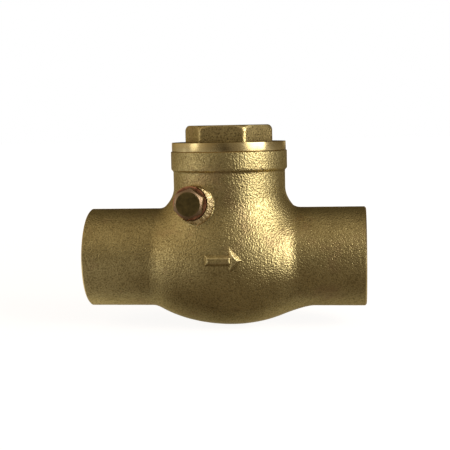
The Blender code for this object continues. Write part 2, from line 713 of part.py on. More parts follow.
def build_hinge(steel, plug_metal, copper):
    """The hinge pin, and the plug and washer that close its hole."""
    pin_line = (PIN_X, 0, PIN_Z)
    turned(
        "hinge_pin", rod(PIN_RADIUS, PIN_START_Y, PIN_END_Y), SMALL_STEPS, ALONG_Y, pin_line,
        material=steel,
    )
    plug = hexagon(
        "pin_plug", PLUG_FLATS, -PLUG_SEAT_Y, -PLUG_SEAT_Y + PLUG_HEAD, PLUG_TURN,
        PLUG_FACE_RADIUS, PLUG_CHAMFER, TO_FRONT, pin_line, material=plug_metal,
    )
    shank = rod(PLUG_SHANK_RADIUS, -PLUG_END_Y, -PLUG_SEAT_Y + PLUG_HEAD / 2)
    boolean(plug, turned("plug_shank", shank, SMALL_STEPS, TO_FRONT, pin_line), "UNION")
    washer(
        "plug_washer", PLUG_SHANK_RADIUS + SEATED_GAP, PLUG_WASHER_RADIUS,
        BOSS_REACH + SEATED_GAP, BOSS_REACH + SEATED_GAP + PLUG_WASHER_THICKNESS,
        steps=SEAT_STEPS, axis=TO_FRONT, centre=pin_line, material=copper,
    )


def build_arm(material, hinge_axis):
    """The swinging arm: knuckle, web with a rib, eye for the disc's stud, and the stop heel."""
    pin_line = (PIN_X, 0, PIN_Z)
    half = KNUCKLE_LENGTH / 2
    arm = turned(
        "disc_arm", rod(KNUCKLE_RADIUS, -half, half), LOOSE_STEPS, ALONG_Y, pin_line,
        material=material, parent=hinge_axis,
    )
    top, foot = ARM_WIDTH_TOP / 2, ARM_WIDTH_FOOT / 2
    web_top = PIN_Z - ARM_ROOT_SHARE * KNUCKLE_RADIUS
    web = [(-web_top, top), (0, foot), (0, -foot), (-web_top, -top)]
    web_front, web_back = ARM_FRONT_X + ARM_EYE_STEP, ARM_BACK_X - ARM_EYE_STEP
    boolean(arm, prism("arm_web", web, web_front, web_back, ALONG_X), "UNION")
    rib_foot = max(NUT_WASHER_RADIUS, NUT_FLATS / sqrt(3)) + RUNNING_GAP
    rib_low = ((web_front + web_back) / 2, -ARM_RIB_WIDTH / 2, rib_foot)
    rib_top = PIN_Z - KNUCKLE_RADIUS / 2
    rib_high = (ARM_BACK_X + ARM_RIB_RISE, ARM_RIB_WIDTH / 2, rib_top)
    boolean(arm, box("arm_rib", rib_low, rib_high), "UNION")
    eye = rod(ARM_EYE_RADIUS, ARM_FRONT_X, ARM_BACK_X)
    boolean(arm, turned("arm_eye", eye, LOOSE_STEPS, ALONG_X), "UNION")
    wall = sqrt(NECK_BORE_RADIUS**2 - (HEEL_WIDTH / 2) ** 2) - abs(PIN_X)
    heel_reach = (wall - STOP_GAP) / sin(OPEN_ANGLE)
    heel_low = (PIN_X, -HEEL_WIDTH / 2, PIN_Z)
    heel_high = (PIN_X + HEEL_THICKNESS, HEEL_WIDTH / 2, PIN_Z + heel_reach)
    boolean(arm, box("stop_heel", heel_low, heel_high), "UNION")
    bore = rod(PIN_BORE_RADIUS, -half - CUT_MARGIN, half + CUT_MARGIN)
    boolean(arm, turned("knuckle_bore", bore, SMALL_STEPS, ALONG_Y, pin_line), "DIFFERENCE")
    eye_bore = rod(STUD_RADIUS + RUNNING_GAP, ARM_FRONT_X - CUT_MARGIN, ARM_BACK_X + CUT_MARGIN)
    boolean(arm, turned("eye_bore", eye_bore, SMALL_STEPS, ALONG_X), "DIFFERENCE")


def build_disc(brass, rubber, steel, disc_axis):
    """The disc with its stud, the seal and what clamps it, and the nut and washer behind."""
    retainer_x = SEAL_FRONT_X - SEATED_GAP - RETAINER_THICKNESS
    head_x = retainer_x - SEATED_GAP
    screw_end = head_x + SEAL_SCREW_LENGTH
    screw_hole = SEAL_SCREW_RADIUS + SEATED_GAP
    outline = [(0, screw_end + SEATED_GAP), (screw_hole, screw_end + SEATED_GAP)]
    outline += [(screw_hole, DISC_POCKET_X), (SEAL_RADIUS + SEATED_GAP, DISC_POCKET_X)]
    outline += [(SEAL_RADIUS + SEATED_GAP, DISC_FRONT_X), (DISC_RADIUS, DISC_FRONT_X)]
    outline += [(DISC_RADIUS, DISC_BACK_X), (STUD_RADIUS, DISC_BACK_X)]
    outline += [(STUD_RADIUS, STUD_END_X - STUD_CHAMFER)]
    outline += [(STUD_RADIUS - STUD_CHAMFER, STUD_END_X), (0, STUD_END_X)]
    turned("disc", outline, axis=ALONG_X, material=brass, parent=disc_axis)
    washer(
        "disc_seal", screw_hole, SEAL_RADIUS, SEAL_FRONT_X, SEAL_BACK_X,
        axis=ALONG_X, material=rubber, parent=disc_axis,
    )
    washer(
        "seal_retainer", screw_hole, RETAINER_RADIUS, retainer_x, retainer_x + RETAINER_THICKNESS,
        steps=LOOSE_STEPS, axis=ALONG_X, material=brass, parent=disc_axis,
    )
    crown, head_top = SEAL_SCREW_HEAD_RADIUS, head_x - SEAL_SCREW_HEAD
    slot_floor = head_top + SEAL_SCREW_SLOT_DEPTH
    outline = [(0, head_top), (SEAL_SCREW_TOP_RADIUS, head_top)]
    outline += [(crown, head_x - SEAL_SCREW_HEAD / 2), (crown, head_x)]
    outline += [(SEAL_SCREW_RADIUS, head_x), (SEAL_SCREW_RADIUS, screw_end), (0, screw_end)]
    screw = turned(
        "seal_screw", outline, SMALL_STEPS, ALONG_X, material=steel, parent=disc_axis
    )
    slot_low = (head_top - CUT_MARGIN, -SEAL_SCREW_SLOT_WIDTH / 2, -2 * crown)
    slot_high = (slot_floor, SEAL_SCREW_SLOT_WIDTH / 2, 2 * crown)
    boolean(screw, box("driver_slot", slot_low, slot_high), "DIFFERENCE")
    stud_hole = STUD_RADIUS + SEATED_GAP
    washer(
        "nut_washer", stud_hole, NUT_WASHER_RADIUS, NUT_WASHER_X,
        NUT_WASHER_X + NUT_WASHER_THICKNESS, steps=LOOSE_STEPS, axis=ALONG_X, material=steel,
        parent=disc_axis,
    )
    nut = hexagon(
        "disc_nut", NUT_FLATS, NUT_X, NUT_X + NUT_THICKNESS, 0.0, NUT_FLATS / 2,
        NUT_CHAMFER, ALONG_X, (0, 0, 0), material=brass, parent=disc_axis,
    )
    hole = rod(stud_hole, NUT_X - CUT_MARGIN, NUT_X + NUT_THICKNESS + CUT_MARGIN)
    boolean(nut, turned("nut_hole", hole, SMALL_STEPS, ALONG_X), "DIFFERENCE")


def build_valve():
    """Every piece of the valve, with the flap shut."""
    clear_scene()
    cast_brass = metal("cast_brass", (0.36, 0.25, 0.10), 0.50)
    cap_brass = metal("cap_brass", (0.42, 0.29, 0.12), 0.40)
    turned_brass = metal("turned_brass", (0.62, 0.44, 0.17), 0.25)
    plug_brass = metal("plug_brass", (0.40, 0.25, 0.15), 0.35)
    copper = metal("copper", (0.55, 0.24, 0.15), 0.45)
    steel = metal("stainless_steel", (0.55, 0.54, 0.52), 0.30)
    rubber = metal("black_rubber", (0.02, 0.02, 0.02), 0.70, metallic=0.0)
    hinge_axis = add_axis("flap_axis", (PIN_X, 0, PIN_Z))
    disc_axis = add_axis("disc_axis", (DISC_BACK_X, 0, 0), parent=hinge_axis)
    build_body(cast_brass)
    build_cap(cap_brass, rubber)
    build_hinge(steel, plug_brass, copper)
    build_arm(cast_brass, hinge_axis)
    build_disc(turned_brass, rubber, steel, disc_axis)


if __name__ == "__main__":
    build_valve()
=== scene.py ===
"""Looks of the swing check valve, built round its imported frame.

Every piece stands where its CAD node stands, in metres. The flow runs along +X, the neck points
up +Z, and the plug of the hinge faces the camera, towards -Y.
"""

import logging
from collections.abc import Callable, Sequence
from dataclasses import dataclass, field
from enum import Enum
from functools import reduce
from itertools import product
from math import cos, pi, radians, sin, sqrt, tan
from typing import Any

import bpy
import numpy as np
from bpy.types import Material, Mesh, Modifier, Node, NodeSocket, NodeTree, Object
from mathutils import Matrix, Vector


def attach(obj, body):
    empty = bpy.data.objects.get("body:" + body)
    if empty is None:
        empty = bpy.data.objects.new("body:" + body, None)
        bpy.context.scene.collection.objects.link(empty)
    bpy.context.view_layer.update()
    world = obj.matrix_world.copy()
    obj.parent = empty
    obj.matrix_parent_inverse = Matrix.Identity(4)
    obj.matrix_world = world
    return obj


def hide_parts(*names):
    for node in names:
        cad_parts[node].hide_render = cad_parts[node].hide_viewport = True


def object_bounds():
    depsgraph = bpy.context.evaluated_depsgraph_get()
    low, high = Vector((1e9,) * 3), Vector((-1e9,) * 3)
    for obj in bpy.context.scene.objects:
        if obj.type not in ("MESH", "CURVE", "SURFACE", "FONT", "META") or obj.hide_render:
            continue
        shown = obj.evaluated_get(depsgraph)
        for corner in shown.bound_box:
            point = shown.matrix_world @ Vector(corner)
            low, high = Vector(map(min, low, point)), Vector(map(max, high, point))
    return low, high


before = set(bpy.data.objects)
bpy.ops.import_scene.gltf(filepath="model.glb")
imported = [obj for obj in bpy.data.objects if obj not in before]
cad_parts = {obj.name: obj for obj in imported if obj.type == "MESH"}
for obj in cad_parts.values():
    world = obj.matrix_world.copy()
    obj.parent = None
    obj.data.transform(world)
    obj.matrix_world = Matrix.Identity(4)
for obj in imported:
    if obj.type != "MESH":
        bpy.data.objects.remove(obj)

CAD_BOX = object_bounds()
LOG = logging.getLogger("valve")
EDGE_NAME = "edge"

# Metres: how wide a bend counts as an edge, and how far a mesher's box stands off its shape
EDGE_REACH = 0.0003
GRID_MARGIN = 0.001

# Metres: how far from a corner its rounding starts
FINE, SOFT, FULL = 0.0001, 0.0002, 0.0003

# The noise values that most of a surface lies between
NOISE_RANGE = (0.35, 0.65)

# What brass turns the reflections at its rims into
RIM_TINT = (0.78, 0.68, 0.48, 1.0)

Pair = tuple[float, float]
Place = tuple[float, float, float]
Colour = tuple[float, float, float]
Distance = Callable[[np.ndarray], np.ndarray]
Outline = list[tuple[float, ...]]


class Spin(Enum):
    """The direction that a turned piece's own height points in."""

    UP = "up"
    ALONG = "along"
    ACROSS = "across"
    FRONT = "front"

    @property
    def turn(self) -> Matrix:
        """The turn that takes +Z to this direction."""
        turns = {
            Spin.UP: Matrix.Identity(4),
            Spin.ALONG: Matrix.Rotation(pi / 2, 4, "Y"),
            Spin.ACROSS: Matrix.Rotation(-pi / 2, 4, "X"),
            Spin.FRONT: Matrix.Rotation(pi / 2, 4, "X"),
        }
        return turns[self]

    def local(self, points: np.ndarray, centre: Sequence[float]) -> np.ndarray:
        """Points as seen from a piece that stands at a centre and points this way.

        Args:
            points: Rows of x, y, z in the frame.
            centre: Where the piece's own origin is.

        Returns:
            Rows of the piece's own u, v and height.
        """
        return (points - np.array(centre)) @ np.array(self.turn.to_3x3())


class Join(Enum):
    """How one mesh meets another."""

    UNITE = "UNION"
    CUT = "DIFFERENCE"


# Shapes as distance fields: below zero inside, above zero outside


def round_union(a: np.ndarray, b: np.ndarray, radius: float | np.ndarray) -> np.ndarray:
    """Two shapes joined with a fillet.

    Args:
        a: Distances from the first shape.
        b: Distances from the second shape.
        radius: The fillet's radius.

    Returns:
        Distances from the joined shape.
    """
    inside = np.maximum(radius, np.minimum(a, b))
    return inside - np.hypot(np.maximum(radius - a, 0), np.maximum(radius - b, 0))


def round_common(a: np.ndarray, b: np.ndarray, radius: float) -> np.ndarray:
    """What two shapes share, with its outer corner rounded.

    Args:
        a: Distances from the first shape.
        b: Distances from the second shape.
        radius: The radius of the corner.

    Returns:
        Distances from the shared part.
    """
    return -round_union(-a, -b, radius)


def rounded_box(
    points: np.ndarray, low: Sequence[float], high: Sequence[float], radius: float
) -> np.ndarray:
    """A block with all its edges rounded.

    Args:
        points: Rows of x, y, z.
        low: The block's lowest corner.
        high: The block's highest corner.
        radius: The radius of its edges.

    Returns:
        Distances from the block.
    """
    middle = (np.array(low) + np.array(high)) / 2
    half = (np.array(high) - np.array(low)) / 2 - radius
    beyond = abs(points - middle) - half
    outside = np.linalg.norm(np.maximum(beyond, 0), axis=1)
    return outside + np.minimum(beyond.max(axis=1), 0) - radius


def rounded_rod(
    local: np.ndarray, size: float, low: float, high: float, radius: float
) -> np.ndarray:
    """A round rod along its own height, with rounded rims.

    Args:
        local: Rows of the rod's own u, v and height.
        size: The rod's radius.
        low: Where it starts.
        high: Where it ends.
        radius: The radius of its rims.

    Returns:
        Distances from the rod.
    """
    u, v, w = local.T
    side = np.hypot(u, v) - size + radius
    end = abs(w - (low + high) / 2) - (high - low) / 2 + radius
    outside = np.hypot(np.maximum(side, 0), np.maximum(end, 0))
    return outside + np.minimum(np.maximum(side, end), 0) - radius


@dataclass(frozen=True)
class HexagonHead:
    """A hexagon across its flats, with soft edges and its corners clipped by a cone."""

    flats: float
    low: float
    high: float
    turn: float
    clip_radius: float
    clip_depth: float
    corner_radius: float
    edge_radius: float

    def distance(self, local: np.ndarray) -> np.ndarray:
        """Distances from the hexagon.

        Args:
            local: Rows of the hexagon's own u, v and height.

        Returns:
            One distance for each row.
        """
        u, v, w = local.T
        sixth = pi / 3
        around = np.hypot(u, v)
        angle = (np.arctan2(v, u) - self.turn) % sixth - sixth / 2
        half = self.flats / 2 - self.corner_radius
        past_flat = around * np.cos(angle) - half
        past_corner = np.maximum(abs(around * np.sin(angle)) - half * tan(sixth / 2), 0)
        side = np.where(past_flat > 0, np.hypot(past_flat, past_corner), past_flat)
        side -= self.corner_radius
        prism = round_common(side, np.maximum(w - self.high, self.low - w), self.edge_radius)
        wide = self.flats / sqrt(3) - self.clip_radius
        cone = (around - self.clip_radius) * self.clip_depth + (w - self.high) * wide
        cone = cone / np.hypot(self.clip_depth, wide)
        return round_common(prism, cone, self.edge_radius)


@dataclass(frozen=True)
class SkinMesher:
    """Draws an even net of small square faces onto the zero surface of a distance field."""

    cell: float
    rounds: int = 3
    step: float = 2e-6
    least_slope: float = 0.5

    def piece(
        self,
        name: str,
        distance: Distance,
        low: Sequence[float],
        high: Sequence[float],
        finish: Material | None = None,
    ) -> Object:
        """Makes an object of the surface inside a box.

        Args:
            name: The new object's name.
            distance: The field.
            low: The box's lowest corner, outside the surface.
            high: The box's highest corner, outside the surface.
            finish: The material, unless it comes later.

        Returns:
            A closed piece whose faces point outwards.
        """
        origin = np.array(low, float)
        counts = np.ceil((np.array(high) - origin) / self.cell).astype(int) + 1
        axes = [origin[k] + self.cell * np.arange(counts[k]) for k in range(3)]
        grid = np.stack(np.meshgrid(*axes, indexing="ij"), axis=-1).reshape(-1, 3)
        values = distance(grid).reshape(counts)
        points, numbers = self._crossings(values, origin)
        faces = self._faces(values < 0, numbers)
        for _ in range(self.rounds):
            points = self._evened(points, faces)
            points = self._drawn(points, distance)
        mesh = bpy.data.meshes.new(name)
        mesh.from_pydata(points.tolist(), [], faces.tolist())
        mesh.update()
        if finish:
            mesh.materials.append(finish)
        return linked(name, mesh)

    def _crossings(self, values: np.ndarray, origin: np.ndarray) -> tuple[np.ndarray, np.ndarray]:
        """One point for each cell that the surface passes through.

        Args:
            values: The field on the grid.
            origin: The grid's lowest corner.

        Returns:
            The points, and the number of each cell's point.
        """
        corners = list(product((0, 1), repeat=3))
        size = np.array(values.shape) - 1
        inside = values < 0
        hits = np.zeros(size, int)
        for a, b, c in corners:
            hits += inside[a : a + size[0], b : b + size[1], c : c + size[2]]
        cells = np.argwhere((hits > 0) & (hits < len(corners)))
        at = {corner: values[tuple((cells + np.array(corner)).T)] for corner in corners}
        total, count = np.zeros((len(cells), 3)), np.zeros(len(cells))
        for start in corners:
            for axis in range(3):
                if start[axis]:
                    continue
                end = tuple(1 if k == axis else start[k] for k in range(3))
                here, there = at[start], at[end]
                crossed = (here < 0) != (there < 0)
                share = np.where(crossed, here / np.where(crossed, here - there, 1), 0)
                spot = np.tile(np.array(start, float), (len(cells), 1))
                spot[:, axis] = share
                total += spot * crossed[:, None]
                count += crossed
        numbers = np.full(size, -1)
        numbers[tuple(cells.T)] = np.arange(len(cells))
        return origin + (cells + total / count[:, None]) * self.cell, numbers

    @staticmethod
    def _faces(inside: np.ndarray, numbers: np.ndarray) -> np.ndarray:
        """A square face across each grid edge that the surface crosses.

        Args:
            inside: Which grid points lie inside.
            numbers: The number of each cell's point.

        Returns:
            Rows of four point numbers.
        """
        rows = []
        for axis in range(3):
            second, third = (axis + 1) % 3, (axis + 2) % 3
            near = inside.take(range(inside.shape[axis] - 1), axis)
            far = inside.take(range(1, inside.shape[axis]), axis)
            edges = np.argwhere(near != far)
            loop = []
            for back, down in ((1, 1), (0, 1), (0, 0), (1, 0)):
                cell = edges.copy()
                cell[:, second] -= back
                cell[:, third] -= down
                loop.append(numbers[tuple(cell.T)])
            quads = np.stack(loop, axis=1)
            leaving = near[tuple(edges.T)]
            rows.append(np.where(leaving[:, None], quads, quads[:, ::-1]))
        return np.concatenate(rows)

    @staticmethod
    def _evened(points: np.ndarray, faces: np.ndarray) -> np.ndarray:
        """Points moved halfway to the middle of their neighbours.

        Args:
            points: Rows of x, y, z.
            faces: Rows of four point numbers.

        Returns:
            The moved points.
        """
        starts, ends = faces.ravel(), np.roll(faces, -1, axis=1).ravel()
        count = np.bincount(starts, minlength=len(points))
        moved = np.empty_like(points)
        for k in range(3):
            moved[:, k] = np.bincount(starts, points[ends, k], len(points)) / count
        return (points + moved) / 2

    def _drawn(self, points: np.ndarray, distance: Distance) -> np.ndarray:
        """Points drawn onto the surface along the field's slope.

        Args:
            points: Rows of x, y, z near the surface.
            distance: The field.

        Returns:
            The moved points.
        """
        here = distance(points)
        slope = np.empty_like(points)
        for k, shift in enumerate(self.step * np.eye(3)):
            slope[:, k] = distance(points + shift) - distance(points - shift)
        slope /= 2 * self.step
        size = np.maximum((slope**2).sum(axis=1), self.least_slope**2)
        move = np.clip(here / size, -self.cell, self.cell)
        return points - move[:, None] * slope


# Node trees


class NodeGraph:
    """Adds nodes to a tree and links them as it goes."""

    def __init__(self, tree: NodeTree) -> None:
        """Starts on an empty tree."""
        tree.nodes.clear()
        self.tree = tree

    def add(self, kind: str, inputs: dict[str | int, Any] | None = None, **settings: Any) -> Node:
        """Adds one node.

        Args:
            kind: Blender's name of the node's type.
            inputs: Values, or the sockets that feed them, by the input's name or place.
            **settings: The node's own settings.

        Returns:
            The new node.
        """
        node = self.tree.nodes.new(kind)
        for name, value in settings.items():
            setattr(node, name, value)
        for key, value in (inputs or {}).items():
            if isinstance(value, NodeSocket):
                self.tree.links.new(value, node.inputs[key])
            else:
                node.inputs[key].default_value = value
        return node

    def math(self, operation: str, *values: Any) -> NodeSocket:
        """The result of one sum on numbers or sockets."""
        node = self.add("ShaderNodeMath", dict(enumerate(values)), operation=operation)
        return node.outputs[0]

    def times(self, *values: Any) -> NodeSocket:
        """The product of two or more numbers or sockets."""
        return reduce(lambda first, second: self.math("MULTIPLY", first, second), values)

    def vector(self, operation: str, *values: Any) -> NodeSocket:
        """The result of one sum on vectors."""
        node = self.add("ShaderNodeVectorMath", dict(enumerate(values)), operation=operation)
        return node.outputs["Value" if operation in ("LENGTH", "DOT_PRODUCT") else "Vector"]

    def noise(
        self, place: Any, size: Any, detail: float = 2.0, roughness: float = 0.5
    ) -> NodeSocket:
        """Soft random values.

        Args:
            place: The socket with the place.
            size: How far apart the lumps are, in metres.
            detail: How many finer layers are added.
            roughness: How strong the finer layers are.

        Returns:
            A value of about 0.3 to 0.7.
        """
        fed = isinstance(size, NodeSocket)
        scale = self.math("DIVIDE", 1.0, size) if fed else 1 / size
        node = self.add(
            "ShaderNodeTexNoise",
            {"Vector": place, "Scale": scale, "Detail": detail, "Roughness": roughness},
        )
        return node.outputs[0]

    def spread(
        self, value: Any, low: float, high: float, start: Any = 0.0, end: Any = 1.0
    ) -> NodeSocket:
        """Maps a value from one range to another, and holds it there.

        Args:
            value: The socket to map.
            low: What becomes the start.
            high: What becomes the end.
            start: The new range's start.
            end: The new range's end.

        Returns:
            The mapped value.
        """
        node = self.add("ShaderNodeMapRange", {0: value, 1: low, 2: high, 3: start, 4: end})
        return node.outputs[0]

    def colour(self, factor: Any, first: Any, second: Any) -> NodeSocket:
        """Mixes two colours.

        Args:
            factor: How much of the second colour shows.
            first: A colour, or the socket that gives it.
            second: A colour, or the socket that gives it.

        Returns:
            The mixed colour.
        """
        ends = [c if isinstance(c, NodeSocket) else (*c, 1.0) for c in (first, second)]
        node = self.add("ShaderNodeMix", {0: factor, 6: ends[0], 7: ends[1]}, data_type="RGBA")
        return node.outputs[2]


class SurfaceGraph(NodeGraph):
    """The nodes of one finish."""

    def __init__(self, name: str) -> None:
        """Starts a material of that name."""
        self.material = bpy.data.materials.new(name)
        self.material.use_nodes = True
        super().__init__(self.material.node_tree)
        self.place = self.add("ShaderNodeTexCoord").outputs["Object"]

    def lumps(self, size: float, detail: float = 3.0, roughness: float = 0.5) -> NodeSocket:
        """Soft random values over the surface, of the noise that the base class makes."""
        return self.noise(self.place, size, detail, roughness)

    def blend(
        self, value: Any, low: float, high: float, first: Any, second: Any, most: float = 1.0
    ) -> NodeSocket:
        """Mixes two colours by a value.

        Args:
            value: The socket that decides.
            low: Its value where only the first colour shows.
            high: Its value where the second colour shows most.
            first: A colour, or the socket that gives it.
            second: A colour, or the socket that gives it.
            most: The second colour's largest share.

        Returns:
            The mixed colour.
        """
        return self.colour(self.spread(value, low, high, 0.0, most), first, second)

    def gloss(self, noise: Any, ends: Pair) -> NodeSocket:
        """A roughness that follows a noise from one end to the other."""
        return self.spread(noise, *NOISE_RANGE, *ends)

    def pits(self, size: float, width: float) -> NodeSocket:
        """Round pits: 0 at the middle of each and 1 between them.

        Args:
            size: How far apart they are, in metres.
            width: The width of a pit, as a share of that.

        Returns:
            The depth of the surface.
        """
        node = self.add("ShaderNodeTexVoronoi", {"Vector": self.place, "Scale": 1 / size})
        return self.spread(node.outputs["Distance"], 0.0, width)

    def edge(self, low: float, high: float) -> NodeSocket:
        """How far a place is an outer edge, or an inner one where low is below zero."""
        node = self.add("ShaderNodeAttribute", attribute_name=EDGE_NAME)
        return self.spread(node.outputs["Fac"], low, high)

    def bump(self, height: Any, depth: float, under: Any = None) -> NodeSocket:
        """Turns heights into a rough surface.

        Args:
            height: The socket with the height, from 0 to 1.
            depth: What a height of 1 stands for, in metres.
            under: The normal that this one is added to.

        Returns:
            The normal.
        """
        inputs = {"Height": height, "Distance": depth, "Strength": 1.0}
        if under is not None:
            inputs["Normal"] = under
        return self.add("ShaderNodeBump", inputs).outputs[0]

    def about(self, spin: Spin, centre: Sequence[float]) -> tuple[NodeSocket, NodeSocket]:
        """Where a place is, seen from a turned piece's axis.

        Args:
            spin: The direction that the piece was turned about.
            centre: A point on its axis.

        Returns:
            The sockets with the height along the axis and the distance from it.
        """
        along = tuple(spin.turn.to_3x3() @ Vector((0, 0, 1)))
        across = [0.0 if abs(a) > 0.5 else 1.0 for a in along]
        away = self.vector("SUBTRACT", self.place, tuple(centre))
        flat = self.vector("MULTIPLY", away, across)
        return self.vector("DOT_PRODUCT", away, along), self.vector("LENGTH", flat)

    def lathe_lines(self, spin: Spin, centre: Sequence[float], pitch: float) -> NodeSocket:
        """The fine rings that a cutting tool leaves on a turned surface.

        Args:
            spin: The direction that the piece was turned about.
            centre: A point on its axis.
            pitch: How far apart the rings are, in metres.

        Returns:
            The height of the surface.
        """
        height, radius = self.about(spin, centre)
        rings = self.add("ShaderNodeCombineXYZ", {0: height, 1: radius}).outputs[0]
        return self.noise(rings, pitch, detail=1.0)

    def finish(
        self, tone: Any, rough: Any, normal: Any, metallic: float = 1.0, rim: Any = None
    ) -> Material:
        """Ends the material in one shader.

        Args:
            tone: The socket with the colour.
            rough: The roughness.
            normal: The socket with the normal.
            metallic: 1 for metal and 0 for anything else.
            rim: What colour the reflections at rims take on, if not white.

        Returns:
            The material.
        """
        inputs = {"Base Color": tone, "Metallic": metallic, "Roughness": rough, "Normal": normal}
        if rim:
            inputs["Specular Tint"] = rim
        shader = self.add("ShaderNodeBsdfPrincipled", inputs)
        self.add("ShaderNodeOutputMaterial", {"Surface": shader.outputs[0]})
        return self.material


class ShapeTree(NodeGraph):
    """A Geometry Nodes tree with named inputs for its sizes, which ends in a plain mesh."""

    def __init__(self, name: str, sizes: dict[str, float | int]) -> None:
        """Starts a tree.

        Args:
            name: The tree's name.
            sizes: The inputs and their first values.
        """
        super().__init__(bpy.data.node_groups.new(name, "GeometryNodeTree"))
        face = self.tree.interface
        face.new_socket(name="Geometry", in_out="INPUT", socket_type="NodeSocketGeometry")
        face.new_socket(name="Geometry", in_out="OUTPUT", socket_type="NodeSocketGeometry")
        self.keys: dict[str, str] = {}
        for label, value in sizes.items():
            kind = "NodeSocketInt" if isinstance(value, int) else "NodeSocketFloat"
            item = face.new_socket(name=label, in_out="INPUT", socket_type=kind)
            item.default_value = value
            self.keys[label] = item.identifier
        item = face.new_socket(name="Finish", in_out="INPUT", socket_type="NodeSocketMaterial")
        self.keys["Finish"] = item.identifier
        self.given = self.add("NodeGroupInput").outputs

    def end(self, geometry: NodeSocket) -> None:
        """Ends the tree in real faces with their finish."""
        real = self.add("GeometryNodeRealizeInstances", {0: geometry}).outputs[0]
        done = self.add(
            "GeometryNodeSetMaterial", {"Geometry": real, "Material": self.given["Finish"]}
        )
        self.add("NodeGroupOutput", {0: done.outputs[0]})

    def grow(self, obj: Object, **values: Any) -> Object:
        """Runs the tree on an object and keeps the result as its plain mesh.

        Args:
            obj: The object with the mesh to start from.
            **values: The inputs by name, with _ for a space.

        Returns:
            The same object.
        """
        modifier = obj.modifiers.new(self.tree.name, "NODES")
        modifier.node_group = self.tree
        for name, value in values.items():
            modifier[self.keys[name.replace("_", " ")]] = value
        return applied(obj, modifier)


class TurnedTree(ShapeTree):
    """Sweeps an outline round a circle, as a lathe does."""

    CIRCLE = 0.01

    def __init__(self) -> None:
        """Builds the tree."""
        super().__init__("turned_piece", {"Steps": 96, "Weld": 1e-6})
        outline = self.add("GeometryNodeMeshToCurve", {0: self.given["Geometry"]}).outputs[0]
        circle = self.add(
            "GeometryNodeCurvePrimitiveCircle",
            {"Resolution": self.given["Steps"], "Radius": self.CIRCLE},
            mode="RADIUS",
        ).outputs[0]
        swept = self.add(
            "GeometryNodeCurveToMesh", {"Curve": circle, "Profile Curve": outline}
        ).outputs[0]
        closed = self.add(
            "GeometryNodeMergeByDistance", {"Geometry": swept, "Distance": self.given["Weld"]}
        ).outputs[0]
        self.end(closed)

    def spin(
        self,
        name: str,
        outline: Sequence[Sequence[float]],
        finish: Material,
        spin: Spin = Spin.UP,
        centre: Sequence[float] = (0.0, 0.0, 0.0),
        steps: int = 96,
        bends: int = 4,
    ) -> Object:
        """Turns a piece.

        Args:
            name: The new object's name.
            outline: Corners as softened takes them. It is open if it starts on the axis.
            finish: The material.
            spin: The direction of the piece's height.
            centre: Where its own origin goes.
            steps: How many sides it gets.
            bends: How many edges a rounded corner gets.

        Returns:
            The closed piece, in place.
        """
        spots = [(r - self.CIRCLE, -h, 0.0) for r, h in softened(outline, bends)]
        pairs = [(i, i + 1) for i in range(len(spots) - 1)]
        if outline[0][0] > 0:
            pairs.append((len(spots) - 1, 0))
        mesh = bpy.data.meshes.new(name)
        mesh.from_pydata(spots, pairs, [])
        piece = self.grow(linked(name, mesh), Steps=steps, Finish=finish)
        piece.data.transform(Matrix.Translation(centre) @ spin.turn)
        return faced_out(piece)


class ReliefTree(ShapeTree):
    """Sinks a surface a little, unevenly, as sand leaves it."""

    SHARES = {"Ripple": 0.6, "Wave": 0.4}

    def __init__(self) -> None:
        """Builds the tree."""
        super().__init__("cast_relief", {"Depth": 5e-5, "Ripple": 0.0015, "Wave": 0.006})
        place = self.add("GeometryNodeInputPosition").outputs[0]
        normal = self.add("GeometryNodeInputNormal").outputs[0]
        layers = [
            self.times(self.noise(place, self.given[size], 1.0), share)
            for size, share in self.SHARES.items()
        ]
        back = self.times(self.math("ADD", *layers), self.given["Depth"], -1.0)
        offset = self.add(
            "ShaderNodeVectorMath", {0: normal, "Scale": back}, operation="SCALE"
        ).outputs[0]
        moved = self.add(
            "GeometryNodeSetPosition", {"Geometry": self.given["Geometry"], "Offset": offset}
        ).outputs[0]
        self.end(moved)


# Objects


def linked(name: str, mesh: Mesh) -> Object:
    """A new object in the scene that shows a mesh."""
    obj = bpy.data.objects.new(name, mesh)
    bpy.context.scene.collection.objects.link(obj)
    return obj


def applied(obj: Object, modifier: Modifier) -> Object:
    """Turns a modifier's result into the object's own mesh.

    Args:
        obj: The object.
        modifier: Its only modifier.

    Returns:
        The same object.
    """
    bpy.context.view_layer.update()
    graph = bpy.context.evaluated_depsgraph_get()
    result = bpy.data.meshes.new_from_object(
        obj.evaluated_get(graph), preserve_all_data_layers=True, depsgraph=graph
    )
    obj.modifiers.remove(modifier)
    old, obj.data = obj.data, result
    result.name = obj.name
    bpy.data.meshes.remove(old)
    return obj


def points_of(mesh: Mesh) -> np.ndarray:
    """A mesh's points, as rows of x, y, z."""
    places = np.empty(len(mesh.vertices) * 3, np.float32)
    mesh.vertices.foreach_get("co", places)
    return places.reshape(-1, 3).astype(float)


def faced_out(obj: Object) -> Object:
    """Turns a closed mesh's faces outwards if they point in."""
    mesh = obj.data
    mesh.calc_loop_triangles()
    corners = np.empty(len(mesh.loop_triangles) * 3, np.int32)
    mesh.loop_triangles.foreach_get("vertices", corners)
    a, b, c = points_of(mesh)[corners.reshape(-1, 3)].transpose(1, 0, 2)
    if (a * np.cross(b, c)).sum() < 0:
        mesh.flip_normals()
    return obj


def joined(obj: Object, other: Object, how: Join) -> None:
    """Joins or cuts one object with another, and uses the other up.

    Args:
        obj: The object to work on.
        other: The object that is added or taken away. Its faces bring their own finish.
        how: Which of the two it is.
    """
    modifier = obj.modifiers.new(other.name, "BOOLEAN")
    modifier.operation = how.value
    modifier.solver = "EXACT"
    modifier.material_mode = "TRANSFER"
    modifier.object = other
    applied(obj, modifier)
    bpy.data.objects.remove(other, do_unlink=True)


